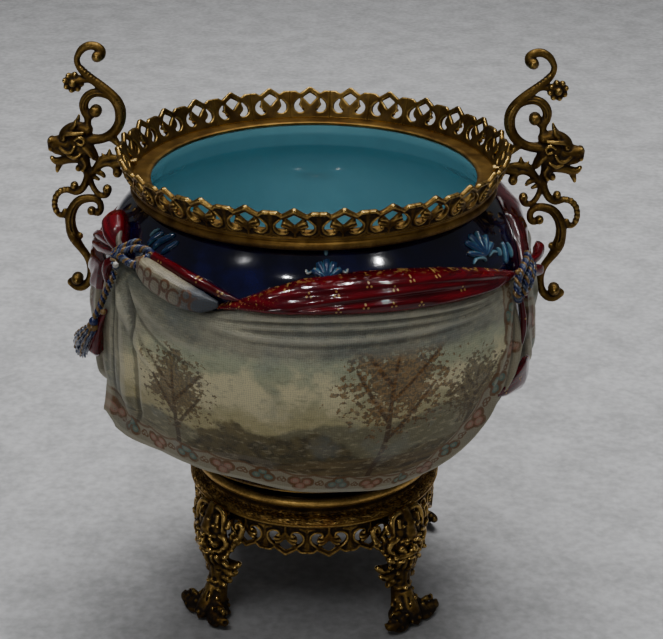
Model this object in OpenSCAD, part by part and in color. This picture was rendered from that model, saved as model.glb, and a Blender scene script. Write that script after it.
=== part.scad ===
// Footed ceramic planter in cast metal mounts: a pierced gallery at the mouth, a pair of
// scroll handles with beast heads, and a pierced ring stand on four cast legs.
// Millimetres, +Z up, origin on the floor at the middle of the stand. -Y is the front.

/* [Bowl] */
// Height of the bowl's foot above the floor
foot_z = 109.5; // [100:0.5:125]
// Radius of the bowl's foot
foot_r = 85.5; // [80:0.5:86]
// Height of the straight part of the foot
foot_rise = 8; // [7:0.5:12]
// Largest radius of the bowl
belly_r = 163; // [155:0.5:170]
// Height of the widest place above the foot
belly_h = 132; // [120:1:140]
// Height of the neck above the foot
neck_h = 225; // [215:0.5:235]
// Height of the upright rim above the neck
rim_h = 6.2; // [4:0.2:10]
// Radius of the mouth
mouth_r = 121.5; // [115:0.5:126]
// Thickness of the wall at the neck
neck_wall = 5.5; // [4.5:0.5:6.5]
// Depth of the straight mouth inside
mouth_depth = 18; // [12:1:24]
// Thickness of the bowl's wall
bowl_wall = 8; // [6:0.5:10]
// Thickness of the bowl's floor
bowl_floor = 12; // [9:0.5:16]

/* [Drapery] */
// Thickness of the cloth relief on the bowl
cloth_t = 4.6; // [3.5:0.1:5]
// Height of the folds above the cloth
fold_h = 2.2; // [0:0.1:3]
// Height of the turned over red roll above the cloth
roll_h = 3.4; // [0:0.1:4.5]
// How far the hanging corners stand off the bowl
corner_flare = 8; // [0:0.5:10]
// Thickness of the twisted cord
cord_d = 6; // [4:0.5:7]
// Thickness of the bow's loops
bow_t = 9; // [7:0.5:10]
// Length of the tassel's skirt
tassel_l = 20; // [14:1:24]
// Thickness of the relief sprigs on the shoulder
sprig_t = 3; // [2:0.1:3.6]

/* [Gallery] */
// Number of pierced motifs round the mouth
gallery_motifs = 27; // [24:3:30]
// How far the gallery's foot stands out from the bowl's neck
gallery_out = 9; // [8:0.5:11]
// Height of the gallery above the collar
gallery_h = 23; // [18:0.5:26]
// How far the gallery leans outwards over its height
gallery_lean = 9; // [5:0.5:9]
// Thickness of the gallery's casting
gallery_t = 2; // [1.6:0.1:2.6]
// Turn of the first motif
gallery_turn = 1.37; // [0:0.01:3]
// Thickness of the collar's flange
flange_t = 1.8; // [1.2:0.1:2.4]
// Thickness of the bead under the gallery
bead_d = 7; // [5:0.5:7.5]

/* [Stand] */
// Height of the ring's underside above the floor
ring_z = 94; // [88:0.5:97]
// Radius of the bead that the bowl stands in
lip_r = 92; // [91:0.5:93]
// Thickness of that bead
lip_d = 7.5; // [6:0.5:8]
// Largest radius of the ring
band_r = 99; // [97:0.5:101]
// Height of the stippled band on the ring
band_h = 10; // [8:0.5:11]
// Inner radius of the ledge that carries the bowl
ledge_r = 74; // [66:1:78]
// Thickness of the ledge
ledge_t = 5; // [4:0.5:6]
// Thickness of the cork ring under the foot
cork_t = 2.3; // [1.5:0.1:3]
// Height of the pierced apron
apron_h = 27; // [20:0.5:30]
// Radius of the apron
apron_r = 94.5; // [93:0.5:95]
// Thickness of the apron's casting
apron_t = 2.4; // [1.8:0.1:3]
// Pierced motifs on each of the four sides
apron_motifs = 4; // [3:1:4]
// Radius of the leg's foot scroll from the middle of the stand
toe_r = 110; // [104:0.5:114]
// Width of the leg at the mask
mask_w = 30; // [26:0.5:32]

/* [Fixings] */
// Diameter of the tie bolt
tie_d = 6; // [5:0.5:8]
// Width of the cross bars under the bowl
cross_w = 16; // [12:1:20]
// Thickness of the cross bars
cross_t = 4; // [3:0.5:5]
// Diameter of the screws that hold the legs
leg_screw_d = 4; // [3:0.5:4.5]
// Diameter of the screws that hold the handles
handle_screw_d = 3; // [2.5:0.5:3.5]

/* [Handles] */
// Thickness of a handle casting across its scrolls
handle_depth = 1.0; // [0.8:0.05:1.2]

/* [Hidden] */
$fn = 72;
// Room between pieces that touch
fit = 0.3;
bronze = [0.50, 0.38, 0.16];
dark_bronze = [0.36, 0.27, 0.12];
cobalt = [0.04, 0.05, 0.20];
cloth_grey = [0.62, 0.62, 0.52];
crimson = [0.62, 0.05, 0.07];
cord_blue = [0.22, 0.30, 0.55];
steel = [0.55, 0.55, 0.56];

neck_r = mouth_r + neck_wall;
belly_z = foot_z + belly_h;
neck_z = foot_z + neck_h;
rim_z = neck_z + rim_h;
gallery_r = neck_r + gallery_out;
floor_z = foot_z + bowl_floor;
ledge_z = foot_z - cork_t - fit / 2;
collar_z = rim_z + fit;
gallery_z = collar_z + flange_t;
section_motifs = gallery_motifs / 3;
motif_step = 360 / gallery_motifs;
apron_step = 80 / apron_motifs;
tie_hole_r = tie_d / 2 + 1.5;

// Shape of the bowl's side, as shares of height and of radius between its named sizes
under_curve = [[0.03, 0.1], [0.11, 0.29], [0.33, 0.62], [0.64, 0.905], [1, 1]];
over_curve = [[0.28, 0.96], [0.56, 0.82], [0.77, 0.57], [0.92, 0.21], [1, 0]];

// Catmull-Rom curve through points p, n steps a span
function spline(p, n) =
    [for (i = [0 : len(p) - 2], k = [0 : n - 1]) spline_at(p, i, k / n), p[len(p) - 1]];
function spline_at(p, i, t) =
    let (a = p[max(i - 1, 0)], b = p[i], c = p[i + 1], d = p[min(i + 2, len(p) - 1)])
    0.5 * (2 * b + (c - a) * t + (2 * a - 5 * b + 4 * c - d) * t * t
        + (3 * b - a - 3 * c + d) * t * t * t);
function unit(v) = v / norm(v);
function mix(a, b, t) = a + (b - a) * t;
function clamp(x, a, b) = min(max(x, a), b);
function bump(x, mid, half) = abs(x - mid) < half ? 0.5 + 0.5 * cos(180 * (x - mid) / half) : 0;
function polar(r, a, z) = [r * cos(a), r * sin(a), z];

side_points = [
    [foot_r, foot_z + foot_rise],
    for (c = under_curve)
        [mix(foot_r, belly_r, c[1]), foot_z + mix(foot_rise, belly_h, c[0])],
    for (c = over_curve)
        [mix(belly_r, neck_r, 1 - c[1]), foot_z + mix(belly_h, neck_h, c[0])]];
side_curve = spline(side_points, 4);
side_table = [for (p = side_curve) [p[1], p[0]]];
function body_r(z) = lookup(z, side_table);
// The inside follows the outside at the thickness of the wall
inside_curve = [for (i = [1 : len(side_curve) - 2])
    let (d = unit(side_curve[i + 1] - side_curve[i - 1]),
         q = side_curve[i] + bowl_wall * [-d[1], d[0]])
    if (q[1] > floor_z + 2 && (q[1] < foot_z + belly_h || q[0] > mouth_r + 2)) q];

// A closed skin over rings of points, the same count in each ring
module skin(rings) {
    m = len(rings[0]);
    n = len(rings);
    polyhedron(
        points = [for (r = rings) for (p = r) p],
        faces = [
            for (i = [0 : n - 2], k = [0 : m - 1])
                let (a = i * m + k, b = i * m + (k + 1) % m)
                each [[a, b, b + m], [a, b + m, a + m]],
            [for (k = [0 : m - 1]) m - 1 - k],
            [for (k = [0 : m - 1]) (n - 1) * m + k]]);
}

// A round bar along points [x, y, z, radius]; side is a direction the path never takes
function bar_rings(p, side, sides, flat) =
    [for (i = [0 : len(p) - 1])
        let (a = p[max(i - 1, 0)], b = p[min(i + 1, len(p) - 1)],
             t = unit([b[0] - a[0], b[1] - a[1], b[2] - a[2]]),
             v = unit(cross(t, side)), u = cross(v, t))
        [for (k = [0 : sides - 1])
            [p[i][0], p[i][1], p[i][2]]
                + p[i][3] * (cos(360 * k / sides) * v + flat * sin(360 * k / sides) * u)]];
module bar(p, side = [0, 1, 0], sides = 8, flat = 1) {
    skin(bar_rings(p, side, sides, flat));
}

// Ceramic bowl

module bowl() {
    color(cobalt)
    rotate_extrude()
    polygon(concat(
        [[tie_hole_r, foot_z + 5], [foot_r - 12, foot_z + 5], [foot_r - 9, foot_z],
         [foot_r, foot_z]],
        side_curve,
        [[neck_r, rim_z - 1], [neck_r - 1, rim_z], [mouth_r + 1, rim_z], [mouth_r, rim_z - 1],
         [mouth_r, rim_z - mouth_depth]],
        [for (i = [len(inside_curve) - 1 : -1 : 0]) inside_curve[i]],
        [[foot_r - 6, floor_z], [tie_hole_r, floor_z]]));
}

// Cloth relief. Azimuth is counted from the front, towards +X. Tables are [azimuth, height], drawn
// on a bowl of these sizes; at_height carries the heights over to the bowl's own.

drawn_foot_z = 109.5;
drawn_belly_z = 241.5;
drawn_neck_z = 334.5;
drawn_belly_r = 163;
drawn_neck_r = 127;
function at_height(z) =
    z < drawn_belly_z
        ? mix(foot_z, belly_z, (z - drawn_foot_z) / (drawn_belly_z - drawn_foot_z))
        : mix(belly_z, neck_z, (z - drawn_belly_z) / (drawn_neck_z - drawn_belly_z));

front_from = -64;
front_to = 66;
front_top = [[-64, 290], [-59, 298], [-53, 307], [-48, 312], [-43, 316], [-35, 314], [-27, 309], [-18, 304], [-8, 311],
    [0, 317], [8, 319], [16, 320], [27, 319], [39, 315], [52, 307], [60, 299], [66, 291]];
front_hem = [[-64, 185], [-60, 165], [-55, 148], [-48, 136], [-33, 132], [0, 131], [19, 132],
    [31, 134], [45, 139], [55, 147], [62, 158], [66, 172]];
back_from = 73;
back_to = 290;
back_top = [[73, 286], [77, 305], [82, 320], [90, 327], [110, 328], [130, 325], [150, 321],
    [170, 317], [190, 314], [210, 311], [230, 307], [250, 300], [262, 294], [272, 288],
    [280, 286], [290, 288]];
back_hem = [[73, 240], [77, 212], [84, 190], [95, 160], [108, 142], [125, 134], [180, 131],
    [240, 134], [260, 142], [275, 160], [284, 180], [290, 200]];
front_knot = [-64, 296];
back_knot = [back_from, 300];
corner_z = 195.5;
corner_half = 48;
roll_band = 22;

function fan_folds(az, z, knot) =
    let (dx = (az - knot[0]) * 2.8, dz = knot[1] - z, far = norm([dx, dz]))
    fold_h * cos(9 * atan2(dz, max(dx, 0.1))) * bump(far, 70, 80);
function swag_folds(az, z, from, to, top) =
    let (mid = (from + to) / 2, half = (to - from) / 2, sag = 26 * (1 - pow((az - mid) / half, 2)))
    0.5 * fold_h * cos(360 * (top - z - sag) / 17) * bump(z, top - sag, 46);
function corner(az, z, from, to) =
    corner_flare * bump(z, corner_z, corner_half)
        * max(bump(az, from, 16), bump(az, to, 16));
function cloth_out(az, z, from, to, top_z, knot) =
    cloth_t
        + roll_h * bump(z, top_z - roll_band / 2, roll_band / 2) * clamp((az - from) / 9, 0, 1)
            * clamp((to - az) / 9, 0, 1)
        + (abs(az - knot[0]) < 60 ? fan_folds(az, z, knot) : 0)
        + swag_folds(az, z, from, to, top_z - roll_band)
        + corner(az, z, from, to);
function on_cloth(az, z, out) = let (h = at_height(z)) polar(body_r(h) + out, az - 90, h);

// Room behind the cloth, so that its flat facets clear the round bowl; more on the sloping shoulder,
// and more behind the bows and sprigs where a shoulder is broader or lower than the drawn one
cloth_room = 1.1 * pow(belly_r / drawn_belly_r, 2);
slope = max(1, (belly_r - neck_r) / (drawn_belly_r - drawn_neck_r)
    * (drawn_neck_z - drawn_belly_z) / (neck_z - belly_z));
shoulder_z = drawn_belly_z + 55;
bow_room = 4 * (pow(slope, 2) - 1);
function room_at(z) = cloth_room * mix(1, 2.4, clamp((z - shoulder_z) / 18, 0, 1));

module cloth(from, to, top, hem, knot, columns, rows) {
    az = [for (i = [0 : columns]) mix(to, from, i / columns)];
    rings = [for (a = az)
        let (t = lookup(a, top), h = lookup(a, hem))
        concat(
            [for (j = [0 : rows])
                let (z = mix(t, h, j / rows),
                     o = max(cloth_out(a, z, from, to, t, knot), cloth_t - 2))
                on_cloth(a, z, j == 0 || j == rows ? o - 1.2 : o)],
            [for (j = [rows : -1 : 0]) let (z = mix(t, h, j / rows)) on_cloth(a, z, room_at(z))])];
    skin(rings);
}
module front_drape() {
    color(cloth_grey)
    cloth(front_from, front_to, front_top, front_hem, front_knot, 38, 15);
}
module back_drape() {
    color(cloth_grey)
    cloth(back_from, back_to, back_top, back_hem, back_knot, 43, 13);
}

// Bows, cords and tassel, laid on the bowl over the ends of the cloth

// Each bow loop is a row of blobs [azimuth, height, share of the bow's thickness, distance off the bowl]
left_bow_loops = [
    [[-57, 311.5, 0.3, 5], [-61, 317, 0.7, 9], [-65.5, 320.5, 0.78, 10.2], [-69, 321.5, 0.74, 9.8]],
    [[-57, 311.5, 0.3, 5], [-67, 310, 0.5, 8], [-74, 304.5, 0.5, 8], [-79, 298, 0.45, 7.6]],
    [[-57, 311.5, 0.3, 5], [-66.5, 303, 0.4, 7.4], [-73.5, 297.5, 0.42, 7.6], [-79, 298, 0.45, 7.6]]];
right_bow_loops = [
    [[75, 287.4, 0.22, 9.6], [77.4, 283, 0.36, 11.6], [80.5, 281, 0.4, 12.8]],
    [[75, 287.4, 0.22, 9.6], [78.6, 291.5, 0.3, 12], [82.5, 294.5, 0.38, 13.6]]];

module bow(loops) {
    color(crimson)
    union()
        for (l = loops, i = [0 : len(l) - 2])
            hull()
                for (b = [l[i], l[i + 1]])
                    translate(on_cloth(b[0], b[1], b[3] + bow_room))
                    sphere(b[2] * bow_t, $fn = 12);
}
module left_bow() { bow(left_bow_loops); }
module right_bow() { bow(right_bow_loops); }

// Cord routes: [azimuth, height, distance off the bowl]
cord_r = cord_d / 2;
left_cord_route = [[-59.5, 307.5, 11.5], [-56, 310.8, 12.2], [-52.8, 314.5, 12.2], [-49.6, 317.6, 11.6],
    [-46.4, 319, 10.8], [-43.4, 317.6, 10.4], [-44.2, 314, 11.4], [-46.6, 310, 12.4], [-50, 308, 12.4],
    [-53.4, 306, 12.2], [-56.6, 303, 11.6]];
right_cord_route = [[63, 274, 10.4], [61.4, 280.5, 10.4], [61.6, 287.6, 10.6], [63.6, 293.6, 10.4],
    [67.6, 297, 9.2], [71.8, 297.4, 9], [73, 293.6, 9.6], [70.4, 290.6, 10.4], [67.6, 287, 10.4],
    [66.6, 281.2, 9.8], [66.8, 275.6, 9]];
tassel_route = [[-54.2, 297, 12.6], [-55, 291, 11.9], [-56.4, 284.5, 11.3], [-58.4, 275, 10.9],
    [-60.6, 264, 10.6], [-61.6, 256, 11.4]];
tassel_top = [-61.8, 254, 12];
tassel_head = [-64.4, 242.5, 13.5];
tassel_foot = [-74, 222, 22];
function laid(q) = on_cloth(q[0], q[1], q[2] + bow_room);
function route_bar(route, r) = [for (q = spline(route, 3)) concat(laid(q), [r])];

module left_cord() {
    color(cord_blue)
    bar(route_bar(left_cord_route, cord_r), side = polar(1, -142, 0), sides = 7);
}
module right_cord() {
    color(cord_blue)
    bar(route_bar(right_cord_route, cord_r), side = polar(1, -20, 0), sides = 7);
}
module tassel() {
    top = laid(tassel_top);
    head = laid(tassel_head);
    tip = head + tassel_l * unit(laid(tassel_foot) - head);
    color(cord_blue)
    union() {
        bar(route_bar(tassel_route, cord_r), side = polar(1, -148, 0), sides = 8);
        hull() {
            translate(top) sphere(3.6, $fn = 10);
            translate(head) sphere(4.6, $fn = 10);
        }
        hull() {
            translate(head) sphere(4.4, $fn = 10);
            translate(tip) sphere(6.6, $fn = 10);
        }
    }
}

// Shoulder sprigs: a fan of drops, each [turn, reach, length, half width]
sprig_places = [[6.8, 323], [-45, 322.8], [56.5, 316.6], [66.8, 306], [163, 324], [203, 321], [242, 316]];
sprig_drops = [[-66, 5, 8, 1.9], [-34, 6, 10, 2], [0, 6, 11, 2.2], [34, 6, 10, 2], [66, 5, 8, 1.9]];
function on_shoulder(place, x, y) =
    on_cloth(place[0] + x / 2.5, place[1] + y * 0.62, sprig_t * 0.5 + 2 * fit * pow(slope, 2));
module shoulder_sprigs() {
    color([0.30, 0.55, 0.66])
    union()
        for (place = sprig_places, d = sprig_drops)
            hull() {
                translate(on_shoulder(place, d[1] * sin(d[0]), d[1] * cos(d[0]) - 6))
                sphere(sprig_t * 0.42, $fn = 4);
                translate(on_shoulder(place, (d[1] + d[2]) * sin(d[0]) * 0.8,
                    (d[1] + d[2]) * cos(d[0]) - 6))
                sphere(sprig_t * 0.5, $fn = 5);
            }
}

// Pierced strip: one motif, flat, its middle on x = 0, its foot on y = 0

peak_half = 7.9;
peak_drop = 5.4;
fan_drop = 3;
fan_slope = 2.9;
function motif_outline(foot_half, top_half, h) = [
    [-foot_half, 0], [foot_half, 0], [top_half, h - fan_drop],
    [peak_half + fan_slope, h - fan_drop], [peak_half, h - peak_drop], [1, h], [-1, h],
    [-peak_half, h - peak_drop], [-peak_half - fan_slope, h - fan_drop],
    [-top_half, h - fan_drop]];
// The diamond under the peak
function diamond(h) = [[0, h - 14], [4.9, h - 8.4], [1.4, h - 4.8], [-1.4, h - 4.8], [-4.9, h - 8.4]];
// The comma hole beside it, with a leaf curl biting into its inner edge
function comma(h) = spline([[5.4, h - 9.6], [8.2, h - 11], [10, h - 14.4], [9.6, h - 18],
    [7.2, h - 20.4], [4.6, h - 20], [4.2, h - 18.6], [6.6, h - 18], [7, h - 15.6],
    [5.4, h - 13.4], [5.6, h - 11.2], [5.4, h - 9.6]], 2);
module motif(foot_half, top_half, h, t) {
    c = comma(h);
    translate([0, 0, -t])
    linear_extrude(t)
    difference() {
        polygon(motif_outline(foot_half, top_half, h));
        polygon(diamond(h));
        for (s = [-1, 1]) scale([s, 1]) polygon([for (i = [0 : len(c) - 2]) c[i]]);
    }
}

// Mouth collar and gallery

module rim_collar() {
    bead_z = collar_z - 1.6 - bead_d / 2;
    bead_r = gallery_r - bead_d / 2 + 0.4;
    inner_r = neck_r + 2.4;
    color(bronze)
    rotate_extrude()
    union() {
        polygon([[mouth_r - 0.5, collar_z], [inner_r, collar_z], [inner_r, bead_z],
            [bead_r, bead_z], [bead_r + 1, collar_z - 1.6], [gallery_r - 0.6, collar_z - 1.6],
            [gallery_r + 0.4, gallery_z], [mouth_r - 0.5, gallery_z]]);
        translate([bead_r, bead_z]) circle(bead_d / 2);
    }
}

gallery_slant = sqrt(gallery_h * gallery_h + gallery_lean * gallery_lean);
gallery_tilt = atan2(gallery_lean, gallery_h);
// The foot runs on below the collar's top before it is cut level, so that it stands flat
foot_run = gallery_t * tan(gallery_tilt) + 0.4;
// Neighbouring motifs run into each other by this much
lap = 0.3;

module gallery_section(first) {
    half = tan(motif_step / 2);
    top_share = (gallery_slant - fan_drop) / gallery_slant;
    color(bronze)
    difference() {
        intersection() {
            union()
            for (k = [first : first + section_motifs - 1])
                rotate([0, 0, gallery_turn + k * motif_step])
                translate([gallery_r, 0, gallery_z])
                rotate([90, 0, 90])
                rotate([gallery_tilt, 0, 0])
                translate([0, -foot_run, 0])
                motif((gallery_r - gallery_lean * foot_run / gallery_slant) * half + lap,
                    (gallery_r + gallery_lean * top_share) * half + lap,
                    gallery_slant + foot_run, gallery_t);
            section_wedge(gallery_turn + (first - 0.5) * motif_step);
        }
        // holes for the handle screws
        for (x = [-1, 1])
            translate([x * lug_x, 0, lug_z])
            rotate([0, 90, 0])
            cylinder(h = 16, r = handle_screw_d / 2 + 0.35, center = true);
    }
}
// The third of a turn that one section may fill
module section_wedge(start) {
    far = 2 * gallery_r;
    rotate([0, 0, start])
    translate(polar(fit / 2, 60, gallery_z))
    linear_extrude(2 * gallery_h)
    polygon([[0, 0], for (a = [0 : 40 : 120]) [far * cos(a), far * sin(a)]]);
}
module gallery_section_1() { gallery_section(0); }
module gallery_section_2() { gallery_section(section_motifs); }
module gallery_section_3() { gallery_section(2 * section_motifs); }

// Stand ring and pierced apron

ring_in = foot_r + 1.4;
lip_z = foot_z + 3.2;
leg_angles = [45, 135, 225, 315];
lug_r = apron_r - 3.5;
screw_hole_r = leg_screw_d / 2 + 0.3;
screw_depth = 9;

module stand_ring() {
    band_top = ring_z + band_h;
    color(bronze)
    difference() {
        rotate_extrude()
        union() {
            polygon([[ledge_r, ledge_z - ledge_t], [ring_in - 1, ledge_z - ledge_t],
                [ring_in, ring_z + 2], [ring_in + 1, ring_z], [apron_r + 2, ring_z],
                [band_r - 1, ring_z + 1.5], [band_r, ring_z + 2], [band_r, ring_z + 3],
                [band_r - 0.8, ring_z + 5.5], [band_r - 3, ring_z + 8], [band_r - 6.5, band_top],
                [lip_r - 2.6, band_top + 2.4], [lip_r - 2.2, band_top + 4.6],
                [lip_r, lip_z], [ring_in, lip_z], [ring_in, ledge_z], [ledge_r, ledge_z]]);
            translate([lip_r, lip_z]) circle(lip_d / 2);
        }
        // blind holes for the screws that come up through the legs' lugs
        for (a = leg_angles)
            rotate([0, 0, a])
            translate([lug_r, 0, ring_z - 1]) cylinder(h = screw_depth + 1, r = screw_hole_r);
    }
}

module apron(side) {
    half = apron_r * tan(apron_step / 2);
    color(bronze)
    union()
        for (k = [0 : apron_motifs - 1])
            rotate([0, 0, side + (k - (apron_motifs - 1) / 2) * apron_step])
            translate([apron_r, 0, ring_z])
            rotate([90, 0, 90])
            mirror([0, 1, 0])
            motif(half, half, apron_h, apron_t);
}
module apron_front() { apron(-90); }
module apron_right() { apron(0); }
module apron_back() { apron(90); }
module apron_left() { apron(180); }

// Cast leg. In its own frame +X points away from the stand's middle.

mask_h = mask_w / 2;
// Each station is [x, z, half width, half depth]
leg_stations = [[apron_r + 9, ring_z - 4, mask_h - 2, 5.5], [apron_r + 10, ring_z - 14, mask_h, 6.5],
    [apron_r + 10, ring_z - 26, mask_h - 3, 6.5], [apron_r + 8, ring_z - 38, mask_h - 6, 6.5],
    [apron_r + 5, ring_z - 52, 7.4, 6], [toe_r - 10.5, 32, 6, 5.6], [toe_r - 8, 21, 7.5, 6],
    [toe_r - 3, 12, 11, 8]];
module station(s) {
    translate([s[0], 0, s[1]]) scale([s[3], s[2], 4]) sphere(1, $fn = 8);
}
function leaf_mid(s) = [apron_r + 6.8, s * (mask_h + 8), ring_z - 21];
function leaf_tip(s) = [apron_r + 4.4, s * (mask_h + 13), ring_z - 8];
module leg_blob(a, ra, b, rb) {
    hull() {
        translate(a) sphere(ra, $fn = 6);
        translate(b) sphere(rb, $fn = 6);
    }
}
module leg() {
    difference() {
        union() {
            for (i = [0 : len(leg_stations) - 2])
                hull() {
                    station(leg_stations[i]);
                    station(leg_stations[i + 1]);
                }
            // lug that goes in behind the apron, under the ring
            hull() {
                translate([lug_r - 6, -6, ring_z - fit / 2 - 6]) cube([9, 12, 6]);
                translate([apron_r + 3, -4, ring_z - 16]) cube([3, 8, 8]);
            }
            // brow, nose, chin and cheek leaves of the mask
            leg_blob([band_r + 4.6, 0, ring_z + 3], 3.6, [apron_r + 14, 0, ring_z - 8], 3.4);
            leg_blob([apron_r + 15, 0, ring_z - 12], 2.6, [apron_r + 17.5, 0, ring_z - 21], 3.2);
            leg_blob([apron_r + 15.5, 0, ring_z - 28], 3.6, [apron_r + 10.5, 0, ring_z - 42], 3.6);
            for (s = [-1, 1]) {
                leg_blob([band_r + 4, s * (mask_h - 3), ring_z + 1.5], 3.2, [apron_r + 13, s * 6, ring_z - 9], 3.6);
                leg_blob([apron_r + 8.6, s * (mask_h - 2), ring_z - 20], 4,
                    [apron_r + 6, s * (mask_h + 4.6), ring_z - 12], 2.8);
                leg_blob([apron_r + 10, s * (mask_h - 4), ring_z - 27], 4, [apron_r + 9.6, s * 5, ring_z - 40], 4);
                // leaf bracket that reaches sideways below the apron
                leg_blob([apron_r + 5, s * 6, ring_z - 46], 4.6, [apron_r + 1, s * 17, ring_z - 48.5], 2.4);
                // leaf that sweeps from the beard up beside the apron
                leg_blob([apron_r + 11, s * (mask_h - 2), ring_z - 34], 2.8, leaf_mid(s), 2.8);
                leg_blob(leaf_mid(s), 2.8, leaf_tip(s), 2.2);
                // toes
                leg_blob([toe_r - 1, s * 6, 8], 6.4, [toe_r + 4.6, s * 14, 10], 3.6);
                leg_blob([toe_r + 5, s * 14, 9.6], 3.2, [toe_r + 10, s * 22, 12.4], 1.6);
            }
            leg_blob([toe_r + 1, 0, 9], 7, [toe_r + 9.5, 0, 12], 2.6);
            // foot scroll, lying across the leg
            rotate([90, 0, 0])
            translate([toe_r - 3, 7, 0])
            cylinder(h = 23, r = 8, center = true, $fn = 12);
        }
        translate([0, -toe_r, -20]) cube([2 * toe_r, 2 * toe_r, 20]);
        translate([lug_r, 0, ring_z - 20]) cylinder(h = 30, r = screw_hole_r, $fn = 16);
        translate([lug_r, 0, ring_z - 30])
        cylinder(h = 30 - 6.2, r = leg_screw_d + 0.4, $fn = 16);
    }
}
module leg_front_left() { color(dark_bronze) rotate([0, 0, 225]) leg(); }
module leg_front_right() { color(dark_bronze) rotate([0, 0, 315]) leg(); }
module leg_back_left() { color(dark_bronze) rotate([0, 0, 135]) leg(); }
module leg_back_right() { color(dark_bronze) rotate([0, 0, 45]) leg(); }
module leg_screws() {
    head_h = 2.4;
    color(steel)
    for (a = leg_angles)
        rotate([0, 0, a])
        translate([lug_r, 0, ring_z - 6.2 - head_h])
        union() {
            cylinder(h = head_h, r = leg_screw_d - 0.4);
            cylinder(h = head_h + 6 + screw_depth - 1, r = leg_screw_d / 2);
        }
}

// Tie through the bowl's floor

cross_z = ledge_z - ledge_t - cross_t;
leather_t = 1.5;
washer_t = 1.6;
under_z = cross_z - washer_t;
nut_h = 5;
module cork_ring() {
    color([0.62, 0.48, 0.32])
    translate([0, 0, ledge_z])
    difference() {
        cylinder(h = cork_t, r = foot_r - 0.5);
        translate([0, 0, -1]) cylinder(h = cork_t + 2, r = ledge_r + 0.5);
    }
}
module cross_bars() {
    color(dark_bronze)
    translate([0, 0, cross_z])
    difference() {
        union() {
            for (a = [0, 90])
                rotate([0, 0, a])
                translate([-(ring_in - 4), -cross_w / 2, 0]) cube([2 * (ring_in - 4), cross_w, cross_t]);
            cylinder(h = cross_t, r = cross_w);
        }
        translate([0, 0, -1]) cylinder(h = cross_t + 2, r = tie_d / 2 + 0.4);
    }
}
module disc(z, t, r) {
    translate([0, 0, z])
    difference() {
        cylinder(h = t, r = r);
        translate([0, 0, -1]) cylinder(h = t + 2, r = tie_d / 2 + 0.4);
    }
}
module leather_washer() { color([0.40, 0.25, 0.15]) disc(floor_z, leather_t, 18); }
module floor_washer() { color(bronze) disc(floor_z + leather_t, washer_t, 15); }
module under_washer() { color(steel) disc(under_z, washer_t, 10); }
module tie_bolt() {
    head_z = floor_z + leather_t + washer_t;
    color(bronze)
    union() {
        rotate_extrude()
        intersection() {
            translate([0, head_z - 6]) circle(tie_d + 4.4);
            translate([0, head_z]) square([tie_d + 4.4, 6]);
        }
        translate([0, 0, under_z - nut_h - 4]) cylinder(h = head_z - under_z + nut_h + 4, r = tie_d / 2);
    }
}
module tie_nut() {
    color(steel)
    translate([0, 0, under_z - nut_h])
    difference() {
        cylinder(h = nut_h, r = tie_d * 0.95, $fn = 6);
        translate([0, 0, -1]) cylinder(h = nut_h + 2, r = tie_d / 2 + 0.2, $fn = 48);
    }
}

// Handles, drawn in the plane y = 0 for the right side. Points are [x, z, radius] beside a gallery
// and a belly of these sizes; placed moves them with the gallery, and low down with the belly.

drawn_gallery_r = 136;
drawn_gallery_z = 342.8;
function out_at(z) =
    mix(gallery_r - drawn_gallery_r, belly_r - drawn_belly_r, clamp((drawn_gallery_z - 2 - z) / 45, 0, 1));
function placed(path) =
    [for (q = path) [q[0] + out_at(q[1]), q[1] + gallery_z - drawn_gallery_z, q[2]]];

top_scroll = [[155.4, 429.6, 3.3], [155.2, 433, 3.1], [159, 436, 3], [164.6, 435.8, 2.9], [169.8, 432, 2.6],
    [172.7, 426.6, 2.2], [171.8, 420.4, 2.3], [168.2, 415.2, 2.7], [162, 409.9, 3.1], [154.6, 403.8, 3.5],
    [147.2, 396.6, 3.9], [143.4, 389.6, 4], [143, 382, 3.9], [145.6, 374, 3.7], [151.6, 367.6, 3.5],
    [159, 364.8, 3.4], [167, 364.6, 4]];
middle_scroll = [[150.8, 398.6, 3], [156.4, 400.2, 3.1], [161.8, 400, 3.1], [166.4, 397.2, 3.2], [169.4, 392.4, 3.3],
    [169.5, 386.4, 3], [167.7, 381.6, 2.7], [167.5, 377.4, 2.5], [169, 372, 3.2]];
flower_stem = [[158.6, 408.2, 2.1], [165.6, 409.8, 2.3], [175.4, 408, 2.8]];
neck = [[174, 357, 5.6], [172.6, 349.6, 4.8], [171.4, 342.4, 3.7], [170.2, 336.4, 3], [172, 330.4, 2.8],
    [175.6, 325.2, 2.7], [180, 323, 2.6], [183.3, 324, 2.5]];
gallery_scroll = [[168.4, 335.6, 2.6], [165, 339.8, 2.5], [161.2, 343.6, 2.6], [156, 345.8, 2.6], [151, 345.2, 2.6]];
leaf_spike = [[154.8, 348.6, 2.6], [152.4, 356.6, 0.9]];
small_curl = [[163.4, 339.6, 2.2], [158.2, 336.4, 1.8]];
inner_branch = [[168.6, 341, 2.4], [167.8, 331.4, 2.4], [165.4, 325, 2.4], [161.4, 321.2, 2.4], [157.4, 321, 2.5]];
lower_stem = [[165.6, 306.6, 2.8], [161.8, 308.8, 2.6], [162.2, 314.8, 2.7], [166.2, 317.8, 2.9], [172, 317.8, 3.2],
    [178, 315.4, 3.5], [182.6, 310, 3.7], [185.1, 303, 3.9], [185.2, 295.4, 4], [183.6, 287.8, 4.5], [180, 280.2, 3.4],
    [175.4, 273, 2.9], [172.5, 265.4, 2.8], [172, 257.4, 2.8], [174, 250.6, 3], [178.6, 246.4, 3.1]];
hoop = [[183.3, 324, 2.5], [189, 324.1, 2.5], [194.4, 321, 2.5], [197.2, 315, 2.2], [197, 308.6, 2.2],
    [193.8, 304.4, 2.2], [189.2, 304.8, 2.2]];
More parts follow.
